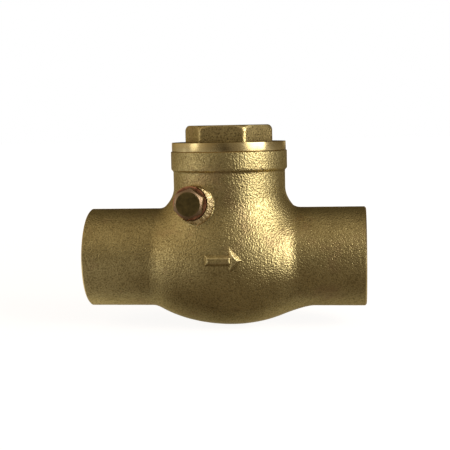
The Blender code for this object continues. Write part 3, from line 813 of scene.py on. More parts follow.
def marked_edges(obj: Object, distance: Distance) -> None:
    """Writes onto each point how sharply the shape bends there, in bends per millimetre.

    Outer edges get values above zero and inner ones get values below it.

    Args:
        obj: The object.
        distance: The field of its shape.
    """
    points = points_of(obj.data)
    total = -6 * distance(points)
    for shift in EDGE_REACH * np.eye(3):
        total += distance(points + shift) + distance(points - shift)
    bend = total / EDGE_REACH**2 / 1000
    layer = obj.data.attributes.new(EDGE_NAME, "FLOAT", "POINT")
    layer.data.foreach_set("value", bend.astype(np.float32))


def softened(
    corners: Sequence[Sequence[float]], steps: int = 4, longest: float = 0.48
) -> list[Pair]:
    """Rounds the corners of an outline.

    Args:
        corners: Rows of radius, height and, where the corner is rounded, its size. The size is
            how far from the corner the bend starts.
        steps: How many edges a bend gets.
        longest: The largest share of an edge that a bend may take.

    Returns:
        The points of the rounded outline.
    """
    outline: list[Pair] = []
    count = len(corners)
    for i, corner in enumerate(corners):
        spot = np.array(corner[:2])
        if len(corner) == 2:
            outline.append((corner[0], corner[1]))
            continue
        arms = []
        for k in (-1, 1):
            arm = np.array(corners[(i + k) % count][:2]) - spot
            arms.append(spot + arm * min(corner[2] / np.linalg.norm(arm), longest))
        for t in np.linspace(0, 1, steps + 1):
            bend = arms[0] * (1 - t) ** 2 + 2 * spot * t * (1 - t) + arms[1] * t**2
            outline.append((float(bend[0]), float(bend[1])))
    return outline


def block(name: str, low: Sequence[float], high: Sequence[float], finish: Material) -> Object:
    """A plain block, used as a cutter.

    Args:
        name: The new object's name.
        low: Its lowest corner.
        high: Its highest corner.
        finish: The material of the faces that it cuts.

    Returns:
        The block.
    """
    spots = list(product(*zip(low, high)))
    faces = [(0, 1, 3, 2), (4, 6, 7, 5), (0, 4, 5, 1), (2, 3, 7, 6), (0, 2, 6, 4), (1, 5, 7, 3)]
    mesh = bpy.data.meshes.new(name)
    mesh.from_pydata(spots, [], faces)
    mesh.materials.append(finish)
    return faced_out(linked(name, mesh))


def ring_outline(
    inner: float, outer: float, low: float, high: float, edge: float, hole_edge: float | None = None
) -> Outline:
    """The outline of a flat ring.

    Args:
        inner: The radius of its hole.
        outer: Its own radius.
        low: Where it starts.
        high: Where it ends.
        edge: The size of its rims' rounding.
        hole_edge: The same for its hole, if it differs.

    Returns:
        Rows of radius, height and rounding.
    """
    hole_edge = hole_edge or edge
    return [
        (inner, low, hole_edge),
        (outer, low, edge),
        (outer, high, edge),
        (inner, high, hole_edge),
    ]


def settled(
    piece: Object, body: str, node: str, even: bool = False, angle: float = 30.0
) -> None:
    """Smooths a finished piece and puts it on its body in place of its CAD node.

    Args:
        piece: The finished piece.
        body: The CAD body that it rides on.
        node: The CAD node that it stands for.
        even: Whether large faces stay flat beside small ones.
        angle: The angle in degrees from which an edge is sharp.
    """
    piece.data.shade_smooth()
    piece.data.set_sharp_from_angle(angle=radians(angle))
    if even:
        modifier = piece.modifiers.new("even", "WEIGHTED_NORMAL")
        modifier.keep_sharp = True
        applied(piece, modifier)
    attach(piece, body)
    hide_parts(node)
    LOG.info("%s: %d faces on %s, for %s", piece.name, len(piece.data.polygons), body, node)


# Finishes


@dataclass(frozen=True)
class CastBrass:
    """Brass as the sand left it: a fine bright grain, small pits, tarnish, reddish patches, and
    painted shade darkening its inner creases.
    """

    name: str = "cast_brass"
    tone: Colour = (0.52, 0.42, 0.185)
    dull: Colour = (0.42, 0.33, 0.14)
    bright: Colour = (0.66, 0.56, 0.28)
    worn: Colour = (0.74, 0.62, 0.32)
    # Dark colour of the grain's valleys and of the pits, and also of the painted shade in inner
    # creases
    grime_and_shade: Colour = (0.16, 0.115, 0.045)
    stain: Colour = (0.42, 0.295, 0.145)
    rim_tint: tuple[float, ...] = RIM_TINT
    gloss: Pair = (0.42, 0.32)
    grain: float = 0.00040
    grain_depth: float = 0.00016
    peak_share: float = 0.35
    valley_share: float = 0.58
    stain_share: float = 0.6
    pit_share: float = 0.4
    # Share of painted shade that darkens the inner creases
    crease_shade_share: float = 0.3
    rub_share: Pair = (0.3, 0.8)
    rub_bend: Pair = (0.8, 3.0)
    # Inner bends over which that painted crease shade grows
    crease_shade_bend: Pair = (-0.4, -2.5)
    pit_spacing: float = 0.0011
    pit_width: float = 0.30
    pit_depth: float = 0.00005
    patch: float = 0.0065
    stain_patch: float = 0.01105

    def material(self) -> Material:
        """Builds the material."""
        graph = SurfaceGraph(self.name)
        grain = graph.lumps(self.grain, 1.5)
        clouds = graph.lumps(self.patch, 4.0, 0.6)
        stains = graph.lumps(self.stain_patch, 5.0, 0.65)
        pits = graph.pits(self.pit_spacing, self.pit_width)
        tone = graph.blend(clouds, 0.38, 0.62, self.dull, self.tone)
        tone = graph.blend(grain, 0.46, 0.72, tone, self.bright, self.peak_share)
        tone = graph.blend(grain, 0.50, 0.32, tone, self.grime_and_shade, self.valley_share)
        tone = graph.blend(stains, 0.54, 0.66, tone, self.stain, self.stain_share)
        tone = graph.blend(pits, 1.0, 0.2, tone, self.grime_and_shade, self.pit_share)
        rub = graph.times(
            graph.edge(*self.rub_bend), graph.spread(clouds, 0.40, 0.60, *self.rub_share)
        )
        tone = graph.colour(rub, tone, self.worn)
        # Painted shade: inner creases darken towards the dark colour, where shade would fall in
        # them
        crease_shade = graph.times(graph.edge(*self.crease_shade_bend), self.crease_shade_share)
        tone = graph.colour(crease_shade, tone, self.grime_and_shade)
        normal = graph.bump(grain, self.grain_depth, graph.bump(pits, self.pit_depth))
        return graph.finish(tone, graph.gloss(grain, self.gloss), normal, rim=self.rim_tint)


@dataclass(frozen=True)
class MachinedBrass:
    """Clean brass from the lathe, with the rings that the tool left."""

    name: str
    spin: Spin
    centre: Place = (0.0, 0.0, 0.0)
    tone: Colour = (0.72, 0.58, 0.29)
    dull: Colour = (0.54, 0.41, 0.18)
    gloss: Pair = (0.29, 0.19)
    pitch: float = 0.00016
    line_depth: float = 0.000012
    line_share: float = 0.25
    patch: float = 0.004

    def material(self) -> Material:
        """Builds the material."""
        graph = SurfaceGraph(self.name)
        lines = graph.lathe_lines(self.spin, self.centre, self.pitch)
        clouds = graph.lumps(self.patch, 4.0, 0.6)
        tone = graph.blend(clouds, 0.36, 0.60, self.dull, self.tone)
        tone = graph.blend(lines, *NOISE_RANGE, tone, self.dull, self.line_share)
        normal = graph.bump(lines, self.line_depth)
        return graph.finish(tone, graph.gloss(clouds, self.gloss), normal, rim=RIM_TINT)


@dataclass(frozen=True)
class TornBrass:
    """Bright brass that a blunt cutter tore, with streaks that run out from its axis."""

    centre: Place
    name: str = "torn_brass"
    tone: Colour = (0.86, 0.68, 0.36)
    dull: Colour = (0.48, 0.35, 0.15)
    rough: float = 0.42
    streak: float = 0.08
    grain: float = 0.0004
    depth: float = 0.00011

    def material(self) -> Material:
        """Builds the material."""
        graph = SurfaceGraph(self.name)
        away = graph.vector("SUBTRACT", graph.place, self.centre)
        way = graph.vector("NORMALIZE", graph.vector("MULTIPLY", away, (1.0, 0.0, 1.0)))
        height = graph.math("ADD", graph.noise(way, self.streak), graph.lumps(self.grain, 2.0))
        tone = graph.blend(height, 0.85, 1.1, self.dull, self.tone)
        return graph.finish(tone, self.rough, graph.bump(height, self.depth))


@dataclass(frozen=True)
class PlugBrass:
    """The plug's dark, browned brass, rubbed bright and pinkish on its chamfer."""

    centre: Place
    face_radius: float
    chamfer_height: float
    name: str = "plug_brass"
    tone: Colour = (0.20, 0.15, 0.055)
    dull: Colour = (0.13, 0.10, 0.038)
    worn: Colour = (0.31, 0.21, 0.125)
    gloss: Pair = (0.48, 0.36)
    grain: float = 0.0004
    depth: float = 0.00004
    rim_band: Pair = (-0.00005, 0.00010)
    chamfer_band: float = 0.0003
    rub_share: Pair = (0.5, 1.0)

    def material(self) -> Material:
        """Builds the material."""
        graph = SurfaceGraph(self.name)
        grain = graph.lumps(self.grain, roughness=0.6)
        tone = graph.blend(graph.lumps(self.grain * 5), 0.4, 0.6, self.dull, self.tone)
        height, radius = graph.about(Spin.FRONT, self.centre)
        out = graph.spread(radius, *(self.face_radius + band for band in self.rim_band))
        up = graph.spread(height, self.chamfer_height - self.chamfer_band, self.chamfer_height)
        rub = graph.times(out, up, graph.spread(grain, 0.3, 0.5, *self.rub_share))
        tone = graph.colour(rub, tone, self.worn)
        return graph.finish(tone, graph.gloss(grain, self.gloss), graph.bump(grain, self.depth))


@dataclass(frozen=True)
class Copper:
    """The washer's soft copper, dulled pinkish red."""

    name: str = "copper"
    tone: Colour = (0.56, 0.27, 0.15)
    dull: Colour = (0.22, 0.09, 0.045)
    gloss: Pair = (0.55, 0.38)
    grain: float = 0.0005
    depth: float = 0.00003

    def material(self) -> Material:
        """Builds the material."""
        graph = SurfaceGraph(self.name)
        grain = graph.lumps(self.grain, roughness=0.6)
        tone = graph.blend(graph.lumps(self.grain * 4), 0.38, 0.58, self.dull, self.tone)
        return graph.finish(tone, graph.gloss(grain, self.gloss), graph.bump(grain, self.depth))


@dataclass(frozen=True)
class Steel:
    """Turned stainless steel."""

    name: str
    spin: Spin
    centre: Place = (0.0, 0.0, 0.0)
    tone: Colour = (0.56, 0.55, 0.53)
    dull: Colour = (0.40, 0.39, 0.38)
    gloss: Pair = (0.22, 0.34)
    pitch: float = 0.00012
    line_depth: float = 0.000008
    patch: float = 0.002

    def material(self) -> Material:
        """Builds the material."""
        graph = SurfaceGraph(self.name)
        lines = graph.lathe_lines(self.spin, self.centre, self.pitch)
        tone = graph.blend(graph.lumps(self.patch), 0.4, 0.6, self.dull, self.tone)
        normal = graph.bump(lines, self.line_depth)
        return graph.finish(tone, graph.gloss(lines, self.gloss), normal)


@dataclass(frozen=True)
class Rubber:
    """Moulded black rubber with a faint bloom."""

    name: str = "black_rubber"
    tone: Colour = (0.018, 0.018, 0.019)
    bloom: Colour = (0.045, 0.044, 0.042)
    gloss: Pair = (0.62, 0.78)
    patch: float = 0.003
    grain: float = 0.0003
    depth: float = 0.00001

    def material(self) -> Material:
        """Builds the material."""
        graph = SurfaceGraph(self.name)
        grain = graph.lumps(self.grain, 2.0)
        tone = graph.blend(graph.lumps(self.patch, 4.0), 0.42, 0.66, self.tone, self.bloom)
        normal = graph.bump(grain, self.depth)
        return graph.finish(tone, graph.gloss(grain, self.gloss), normal, metallic=0.0)


# Sub-assemblies


@dataclass(frozen=True)
class Sizes:
    """Lines that several pieces share."""

    pin_x: float = -0.0084
    pin_z: float = 0.0154
    collar_top: float = 0.0281
    boss_reach: float = 0.0139
    plug_seat: float = 0.0153
    plug_shank_radius: float = 0.0027
    plug_end: float = 0.0106
    pin_end: float = 0.0121
    pin_radius: float = 0.00125
    gap: float = 0.0003
    disc_back_x: float = -0.0078

    @property
    def pin_line(self) -> Place:
        """A point on the hinge pin's axis."""
        return (self.pin_x, 0.0, self.pin_z)


@dataclass(frozen=True)
class Workshop:
    """What every sub-assembly is made with: the trees, the shared lines and the finishes."""

    sizes: Sizes = field(default_factory=Sizes)
    turned: TurnedTree = field(default_factory=TurnedTree)
    relief: ReliefTree = field(default_factory=ReliefTree)
    cast: Material = field(default_factory=lambda: CastBrass().material())
    bored: Material = field(
        default_factory=lambda: MachinedBrass("bored_brass", Spin.ALONG).material()
    )
    cap: Material = field(default_factory=lambda: MachinedBrass("cap_brass", Spin.UP).material())
    copper: Material = field(default_factory=lambda: Copper().material())
    rubber: Material = field(default_factory=lambda: Rubber().material())


@dataclass
class Casting:
    """The cast body: two tubes, a round belly, a neck with its collar, bosses and a flow arrow."""

    shop: Workshop
    tube_radius: float = 0.0130
    bore_radius: float = 0.01115
    inlet_reach: float = 0.0375
    outlet_reach: float = 0.0357
    cup_depth: float = 0.0190
    mouth_edge: float = 0.0004
    belly_radius: float = 0.0175
    belly_drop: float = 0.0005
    belly_length_in: float = 0.0280
    belly_length_out: float = 0.0262
    crease_in: float = 0.0006
    crease_out: float = 0.0024
    crease_fade: float = 1.5
    neck_radius: float = 0.01475
    neck_fillet: float = 0.0040
    collar_lip: float = 0.00055
    collar_slope: float = 1.2
    collar_height: float = 0.0046
    neck_bore_radius: float = 0.0124
    neck_floor: float = 0.0020
    gasket_pocket_radius: float = 0.0141
    gasket_pocket_depth: float = 0.0013
    boss_radius: float = 0.0047
    boss_fillet: float = 0.0007
    boss_edge: float = 0.0005
    front_boss_shift: Place = (0.0011, 0.0, -0.0005)
    washer_pocket_radius: float = 0.0045
    washer_pocket_depth: float = 0.0014
    shoulder_radius: float = 0.0060
    shoulder_drop: float = 0.0007
    lug_radius: float = 0.0029
    lug_inner: float = 0.0048
    port_radius: float = 0.00825
    seat_outer: float = 0.0092
    seat_draft: float = 0.0003
    seat_edge: float = 0.00015
    seat_x: float = -0.0114
    seat_wall_x: float = -0.0126
    chamber_radius: float = 0.0144
    chamber_wall: float = 0.0019
    chamber_end_x: float = 0.0140
    chamber_steps: int = 28
    chamber_slack: float = 0.00001
    wall_start: float = 0.0005
    outlet_port_radius: float = 0.0100
    shoulder_edge: float = 0.0004
    arrow_length: float = 0.0094
    arrow_height: float = 0.0066
    arrow_shaft: float = 0.0027
    arrow_z: float = 0.0012
    arrow_relief: float = 0.00075
    arrow_draft: float = 1.0
    arrow_edge: float = 0.00015
    overrun: float = 0.0015
    relief_depth: float = 0.00006
    mesher: SkinMesher = field(default_factory=lambda: SkinMesher(0.00040))
    arrow_mesher: SkinMesher = field(default_factory=lambda: SkinMesher(0.00016))

    def pipe(self, points: np.ndarray) -> np.ndarray:
        """Distances from the tubes and the belly."""
        x, y, z = points.T
        tube = np.hypot(y, z) - self.tube_radius
        across = np.hypot(y, z + self.belly_drop)
        length = np.where(x < 0, self.belly_length_in, self.belly_length_out)
        scaled = np.hypot(x / length, across / self.belly_radius)
        slope = np.hypot(x / length**2, across / self.belly_radius**2)
        belly = scaled * (scaled - 1) / np.maximum(slope, np.finfo(float).eps)
        low = np.clip(-z / self.tube_radius, 0, 1) ** self.crease_fade
        widest = np.where(x < 0, self.crease_in, self.crease_out)
        return round_union(tube, belly, self.crease_in + (widest - self.crease_in) * low)

    def neck(self, points: np.ndarray) -> np.ndarray:
        """Distances from the neck and its collar."""
        x, y, z = points.T
        base = self.shop.sizes.collar_top - self.collar_height
        rise = np.clip((z - base) / (self.collar_slope * self.collar_lip) + 1, 0, 1)
        radius = self.neck_radius + self.collar_lip * rise * rise * (3 - 2 * rise)
        side = np.hypot(x, y) - radius
        under = np.maximum(-z, 0)
        return np.where(under > 0, np.hypot(side, under), side)

    def boss(self, points: np.ndarray, spin: Spin, reach: float, shift: Place) -> np.ndarray:
        """Distances from one of the two bosses that hold the hinge pin.

        Args:
            points: Rows of x, y, z.
            spin: The direction that it stands out in.
            reach: How far out it stands.
            shift: How far its middle lies from the pin's.

        Returns:
            One distance for each point.
        """
        local = spin.local(points - np.array(shift), self.shop.sizes.pin_line)
        return rounded_rod(local, self.boss_radius, 0.0, reach, self.boss_edge)

    def arrow(self, points: np.ndarray) -> np.ndarray:
        """Distances from the raised arrow, which is rooted a little under the skin."""
        x, y, z = points.T
        skin = self.skin(points)
        z = abs(z - self.arrow_z)
        tip = self.arrow_length / 2
        barb = tip - self.arrow_height / 2
        shaft = np.maximum.reduce([z - self.arrow_shaft / 2, -tip - x, x - tip / 2])
        head = np.maximum(barb - x, (x + z - tip) / sqrt(2))
        plan = np.maximum(np.minimum(shaft, head), y)
        flank = (plan + skin * self.arrow_draft) / np.hypot(1, self.arrow_draft)
        top = round_common(flank, skin - self.arrow_relief, self.arrow_edge)
        return np.maximum(top, -skin - self.arrow_relief)

    def skin(self, points: np.ndarray) -> np.ndarray:
        """Distances from the casting as it leaves the mould."""
        whole = round_union(self.pipe(points), self.neck(points), self.neck_fillet)
        reach = self.shop.sizes.boss_reach
        for spin, far, shift in (
            (Spin.FRONT, reach + self.overrun, self.front_boss_shift),
            (Spin.ACROSS, reach, (0.0, 0.0, 0.0)),
        ):
            boss = self.boss(points, spin, far, shift)
            whole = round_union(whole, boss, self.boss_fillet)
        return whole

    def outside(self, points: np.ndarray) -> np.ndarray:
        """Distances from the casting and its arrow."""
        return np.minimum(self.skin(points), self.arrow(points))

    def blank(self, points: np.ndarray) -> np.ndarray:
        """Distances from the casting, closed a little beyond the faces that are machined."""
        x, _, z = points.T
        beyond = np.maximum(-self.inlet_reach - x, x - self.outlet_reach)
        beyond = np.maximum(beyond, z - self.shop.sizes.collar_top) - self.overrun
        return np.maximum(self.skin(points), beyond)

    def _mouth(self, side: int, reach: float) -> Outline:
        """The outline of one mouth and its solder cup, from the outside in.

        Args:
            side: -1 for the inlet and 1 for the outlet.
            reach: How far along the pipe the mouth lies.

        Returns:
            Rows of radius, height and rounding.
        """
        end, half_edge = side * reach, self.mouth_edge / 2
        wide, rise = self.tube_radius + self.overrun, self.tube_radius - self.mouth_edge
        return [
            (0.0, end + side * 2 * self.overrun),
            (wide, end + side * 2 * self.overrun),
            (wide, end - side * (wide - rise)),
            (rise, end, FINE),
            (self.bore_radius + half_edge, end, FINE),
            (self.bore_radius, end - side * half_edge, FINE),
            (self.bore_radius, end - side * self.cup_depth, FULL),
        ]

    def passage(self) -> Object:
        """The cutter for all that is open along the pipe, and for the two mouths."""
        inlet, outlet = self._mouth(-1, self.inlet_reach), self._mouth(1, self.outlet_reach)
        corners = [
            *inlet,
            (self.port_radius, inlet[-1][1], self.shoulder_edge),
            (self.port_radius, self.seat_x, self.seat_edge),
            (self.seat_outer, self.seat_x, self.seat_edge),
            (self.seat_outer + self.seat_draft, self.seat_wall_x, SOFT),
            *self.chamber_outline(),
            (self.outlet_port_radius, self.chamber_end_x, 2 * FULL),
            (self.outlet_port_radius, outlet[-1][1], self.shoulder_edge),
            *outlet[::-1],
        ]
        cutter = self.shop.turned.spin(
            "passage", corners, self.shop.bored, Spin.ALONG, steps=144, bends=3
        )
        self._line_chamber(cutter)
        return cutter

    def chamber_outline(self) -> Outline:
        """The chamber's wall, as points of radius and height along the pipe."""
        wall = []
        for x in np.linspace(self.seat_wall_x, self.chamber_end_x, self.chamber_steps):
            length = self.belly_length_in if x < 0 else self.belly_length_out
            share = x / (length - self.chamber_wall)
            wall.append((float(self.chamber_radius * sqrt(1 - share**2)), float(x)))
        return wall

    def _line_chamber(self, cutter: Object) -> None:
        """Gives the chamber's own wall the cast finish, because nothing machines it."""
        cutter.data.materials.append(self.shop.cast)
        start = self.seat_wall_x - self.chamber_slack
        end = self.chamber_end_x + self.chamber_slack
        for face in cutter.data.polygons:
            x, y, z = face.center
            if start < x < end and np.hypot(y, z) > self.seat_outer + self.wall_start:
                face.material_index = 1

    def neck_bore(self) -> Object:
        """The cutter for the neck's top face, the gasket's pocket and the bore, less the lugs."""
        top = self.shop.sizes.collar_top
        wide = self.neck_radius + self.collar_lip + self.overrun
        edge = self.mouth_edge / 2
        rim = self.neck_radius + self.collar_lip - edge
        floor = top - self.gasket_pocket_depth
        corners = [
            (0.0, self.neck_floor),
            (self.neck_bore_radius, self.neck_floor, 4 * SOFT),
            (self.neck_bore_radius, floor, FINE),
            (self.gasket_pocket_radius, floor),
            (self.gasket_pocket_radius, top, FINE),
            (rim, top, FINE),
            (wide, top - (wide - rim)),
            (wide, top + 2 * self.overrun),
            (0.0, top + 2 * self.overrun),
        ]
        bore = self.shop.turned.spin("neck_bore", corners, self.shop.cap, steps=144, bends=3)
        for name, spin in (("front_lug", Spin.FRONT), ("back_lug", Spin.ACROSS)):
            outline = [
                (0.0, self.lug_inner),
                (self.lug_radius, self.lug_inner, SOFT),
                (self.lug_radius, self.neck_radius),
                (0.0, self.neck_radius),
            ]
            lug = self.shop.turned.spin(
                name, outline, self.shop.cast, spin, self.shop.sizes.pin_line, 48
            )
            joined(bore, lug, Join.CUT)
        return bore

    def pin_bore(self) -> Object:
        """The cutter for the washer's pocket, the shoulder round it and the hole behind."""
        sizes = self.shop.sizes
        far = sizes.plug_seat + 2 * self.belly_radius
        hole = sizes.plug_shank_radius + sizes.gap
        bore = sizes.pin_radius + sizes.gap
        rim = sizes.boss_reach + self.washer_pocket_depth
        corners = [
            (0.0, -sizes.pin_end - sizes.gap),
            (bore, -sizes.pin_end - sizes.gap),
            (bore, sizes.plug_end - sizes.gap),
            (hole, sizes.plug_end - sizes.gap),
            (hole, sizes.boss_reach - FULL),
            (hole + FULL, sizes.boss_reach),
            (self.washer_pocket_radius, sizes.boss_reach, FINE),
            (self.washer_pocket_radius, rim, FINE),
            (self.shoulder_radius, rim - self.shoulder_drop, FINE),
            (self.shoulder_radius + FINE, far),
            (0.0, far),
        ]
        finish = TornBrass(sizes.pin_line).material()
        return self.shop.turned.spin(
            "pin_bore", corners, finish, Spin.FRONT, sizes.pin_line, bends=3
        )

    def build(self) -> None:
        """Makes the casting and machines it."""
        beyond = 2 * self.overrun
        reach = self.belly_radius + GRID_MARGIN
        foot = -self.belly_radius - self.belly_drop - GRID_MARGIN
        low = (-self.inlet_reach - beyond, -reach, foot)
        high = (self.outlet_reach + beyond, reach, self.shop.sizes.collar_top + beyond)
        piece = self.mesher.piece("brass_body", self.blank, low, high)
        self.shop.relief.grow(piece, Depth=self.relief_depth, Finish=self.shop.cast)
        margin = GRID_MARGIN + self.arrow_relief * self.arrow_draft * sqrt(2)
        half = (self.arrow_length / 2 + margin, self.arrow_height / 2 + margin)
        low = (-half[0], -reach, self.arrow_z - half[1])
        high = (half[0], self.arrow_length - self.belly_radius, self.arrow_z + half[1])
        arrow = self.arrow_mesher.piece("flow_arrow", self.arrow, low, high, self.shop.cast)
        joined(piece, arrow, Join.UNITE)
        for cutter in (self.passage(), self.neck_bore(), self.pin_bore()):
            joined(piece, cutter, Join.CUT)
        marked_edges(piece, self.outside)
        settled(piece, "valve", "valve_body")


@dataclass
class Bonnet:
    """The screwed cap that closes the neck, and the gasket under its flange."""

    shop: Workshop
    flange_radius: float = 0.0150
    flange_thickness: float = 0.0020
    flange_drop: float = 0.00024
    flats: float = 0.0205
    head_height: float = 0.0044
    turn: float = radians(-3.7)
    corner_clip: float = 0.0011
    corner_radius: float = 0.0014
    edge_radius: float = 0.00035
    spigot_radius: float = 0.0121
    spigot_length: float = 0.0068
    spigot_wall: float = 0.0025
    crown: float = 0.0043
    gasket_section: float = 0.0010
    gasket_inner: float = 0.0124
    gasket_outer: float = 0.0138
    relief_depth: float = 0.00005
    mesher: SkinMesher = field(default_factory=lambda: SkinMesher(0.00025))

    @property
    def foot(self) -> float:
        """The height at which the flange starts in the solids."""
        return self.shop.sizes.collar_top + self.shop.sizes.gap

    def head(self) -> HexagonHead:
        """The cap's hexagon."""
        return HexagonHead(
            flats=self.flats,
            low=self.foot + self.flange_thickness / 2,
            high=self.foot + self.flange_thickness + self.head_height,
            turn=self.turn,
            clip_radius=self.flats / sqrt(3) - self.corner_clip,
            clip_depth=self.corner_clip,
            corner_radius=self.corner_radius,
            edge_radius=self.edge_radius,
        )

    def _dull_and_shaded_top(self, flange: Object, step: float) -> None:
        """Gives the flange's top, which no tool has cleaned, a dull cast finish painted much darker
        than its turned sides: painted shade under the hexagon.

        Args:
            flange: The flange.
            step: The height of its top.
        """
        # Painted shade: the top face takes far darker tones and rim tint than the sides
        flange.data.materials.append(
            CastBrass(
                "tarnished_brass",
                tone=(0.30, 0.23, 0.095),
                dull=(0.20, 0.15, 0.06),
                bright=(0.40, 0.32, 0.14),
                rim_tint=(0.32, 0.25, 0.15, 1.0),
                grain_depth=0.00006,
            ).material()
        )
        for face in flange.data.polygons:
            if face.normal.z > 0.8 and face.center.z > step - self.flange_thickness / 2:
                face.material_index = 1

    def build(self) -> None:
        """Makes the cap and its gasket."""
        head, collar_top = self.head(), self.shop.sizes.collar_top
        step = self.foot + self.flange_thickness
        top = step + self.head_height
        reach = self.flats / sqrt(3) + GRID_MARGIN
        low, high = (-reach, -reach, head.low - GRID_MARGIN), (reach, reach, top + GRID_MARGIN)
        piece = self.mesher.piece("bonnet", head.distance, low, high)
        cast = CastBrass(
            "cap_cast_brass",
            tone=(0.62, 0.485, 0.205),
            dull=(0.47, 0.355, 0.145),
            grain_depth=0.00009,
            valley_share=1.0,
        ).material()
        self.shop.relief.grow(piece, Depth=self.relief_depth, Finish=cast)
        end = collar_top - self.spigot_length
        seat = self.foot - self.flange_drop
        corners = [
            (0.0, end),
            (self.spigot_radius, end, 2 * FULL),
            (self.spigot_radius, seat, FULL),
            (self.flange_radius, seat, FINE),
            (self.flange_radius, step, 1.2 * FINE),
            (0.0, step),
        ]
        flange = self.shop.turned.spin("flange", corners, self.shop.cap, steps=160)
        self._dull_and_shaded_top(flange, step)
        joined(piece, flange, Join.UNITE)
        hollow = self.spigot_radius - self.spigot_wall
        corners = [
            (0.0, end - GRID_MARGIN),
            (hollow, end - GRID_MARGIN),
            (hollow, top - self.crown, 4 * SOFT),
            (0.0, top - self.crown),
        ]
        cutter = self.shop.turned.spin("cap_hollow", corners, cast)
        joined(piece, cutter, Join.CUT)
        marked_edges(piece, head.distance)
        settled(piece, "valve", "bonnet_cap")
        span = (collar_top - self.gasket_section, collar_top)
        ring = ring_outline(self.gasket_inner, self.gasket_outer, *span, SOFT)
        gasket = self.shop.turned.spin("gasket", ring, self.shop.rubber)
        settled(gasket, "valve", "cap_gasket", even=True)


@dataclass
class Hinge:
    """The hinge pin, and the plug and washer that close its hole."""

    shop: Workshop
    plug_flats: float = 0.0070
    plug_head: float = 0.0030
    plug_turn: float = radians(21.9)
    plug_face_radius: float = 0.0030
    plug_chamfer: float = 0.0006
    plug_edge: float = 0.00006
    plug_corner: float = 0.00015
    shank_root: float = 0.0010
    washer_outer: float = 0.0043
    washer_thickness: float = 0.0008
    pin_start: float = 0.0100
    mesher: SkinMesher = field(default_factory=lambda: SkinMesher(0.00011))

    def plug_distance(self, points: np.ndarray) -> np.ndarray:
        """Distances from the plug, head and shank."""
        sizes = self.shop.sizes
        local = Spin.FRONT.local(points, sizes.pin_line)
        head = HexagonHead(
            flats=self.plug_flats,
            low=sizes.plug_seat,
            high=sizes.plug_seat + self.plug_head,
            turn=self.plug_turn,
            clip_radius=self.plug_face_radius,
            clip_depth=self.plug_chamfer,
            corner_radius=self.plug_corner,
            edge_radius=self.plug_edge,
        ).distance(local)
        shank_top = sizes.plug_seat + self.shank_root
        shank = rounded_rod(local, sizes.plug_shank_radius, sizes.plug_end, shank_top, FULL)
        return round_union(head, shank, self.plug_edge)

    def build(self) -> None:
        """Makes the plug, its washer and the pin."""
        sizes, margin = self.shop.sizes, GRID_MARGIN / 2
        reach, front = self.plug_flats / sqrt(3) + margin, sizes.plug_seat + self.plug_head
        low = (sizes.pin_x - reach, -sizes.plug_seat - self.plug_head - margin, sizes.pin_z - reach)
        high = (sizes.pin_x + reach, -sizes.plug_end + margin, sizes.pin_z + reach)
        finish = PlugBrass(sizes.pin_line, self.plug_face_radius, front - self.plug_chamfer)
        plug = self.mesher.piece("plug", self.plug_distance, low, high, finish.material())
        settled(plug, "valve", "pin_plug", angle=40.0)
        face = sizes.boss_reach + sizes.gap
        span = (face, face + self.washer_thickness)
        hole = sizes.plug_shank_radius + sizes.gap
        ring = ring_outline(hole, self.washer_outer, *span, FULL, SOFT)
        place = (Spin.FRONT, sizes.pin_line)
        washer = self.shop.turned.spin("copper_washer", ring, self.shop.copper, *place, bends=6)
        settled(washer, "valve", "plug_washer", even=True)
        place = (Spin.ACROSS, sizes.pin_line)
        steel = Steel("pin_steel", *place).material()
        rod = [
            (0.0, -self.pin_start),
            (sizes.pin_radius, -self.pin_start, SOFT),
            (sizes.pin_radius, sizes.pin_end, SOFT),
            (0.0, sizes.pin_end),
        ]
        pin = self.shop.turned.spin("pivot_pin", rod, steel, *place, 48)
        settled(pin, "valve", "hinge_pin", even=True)


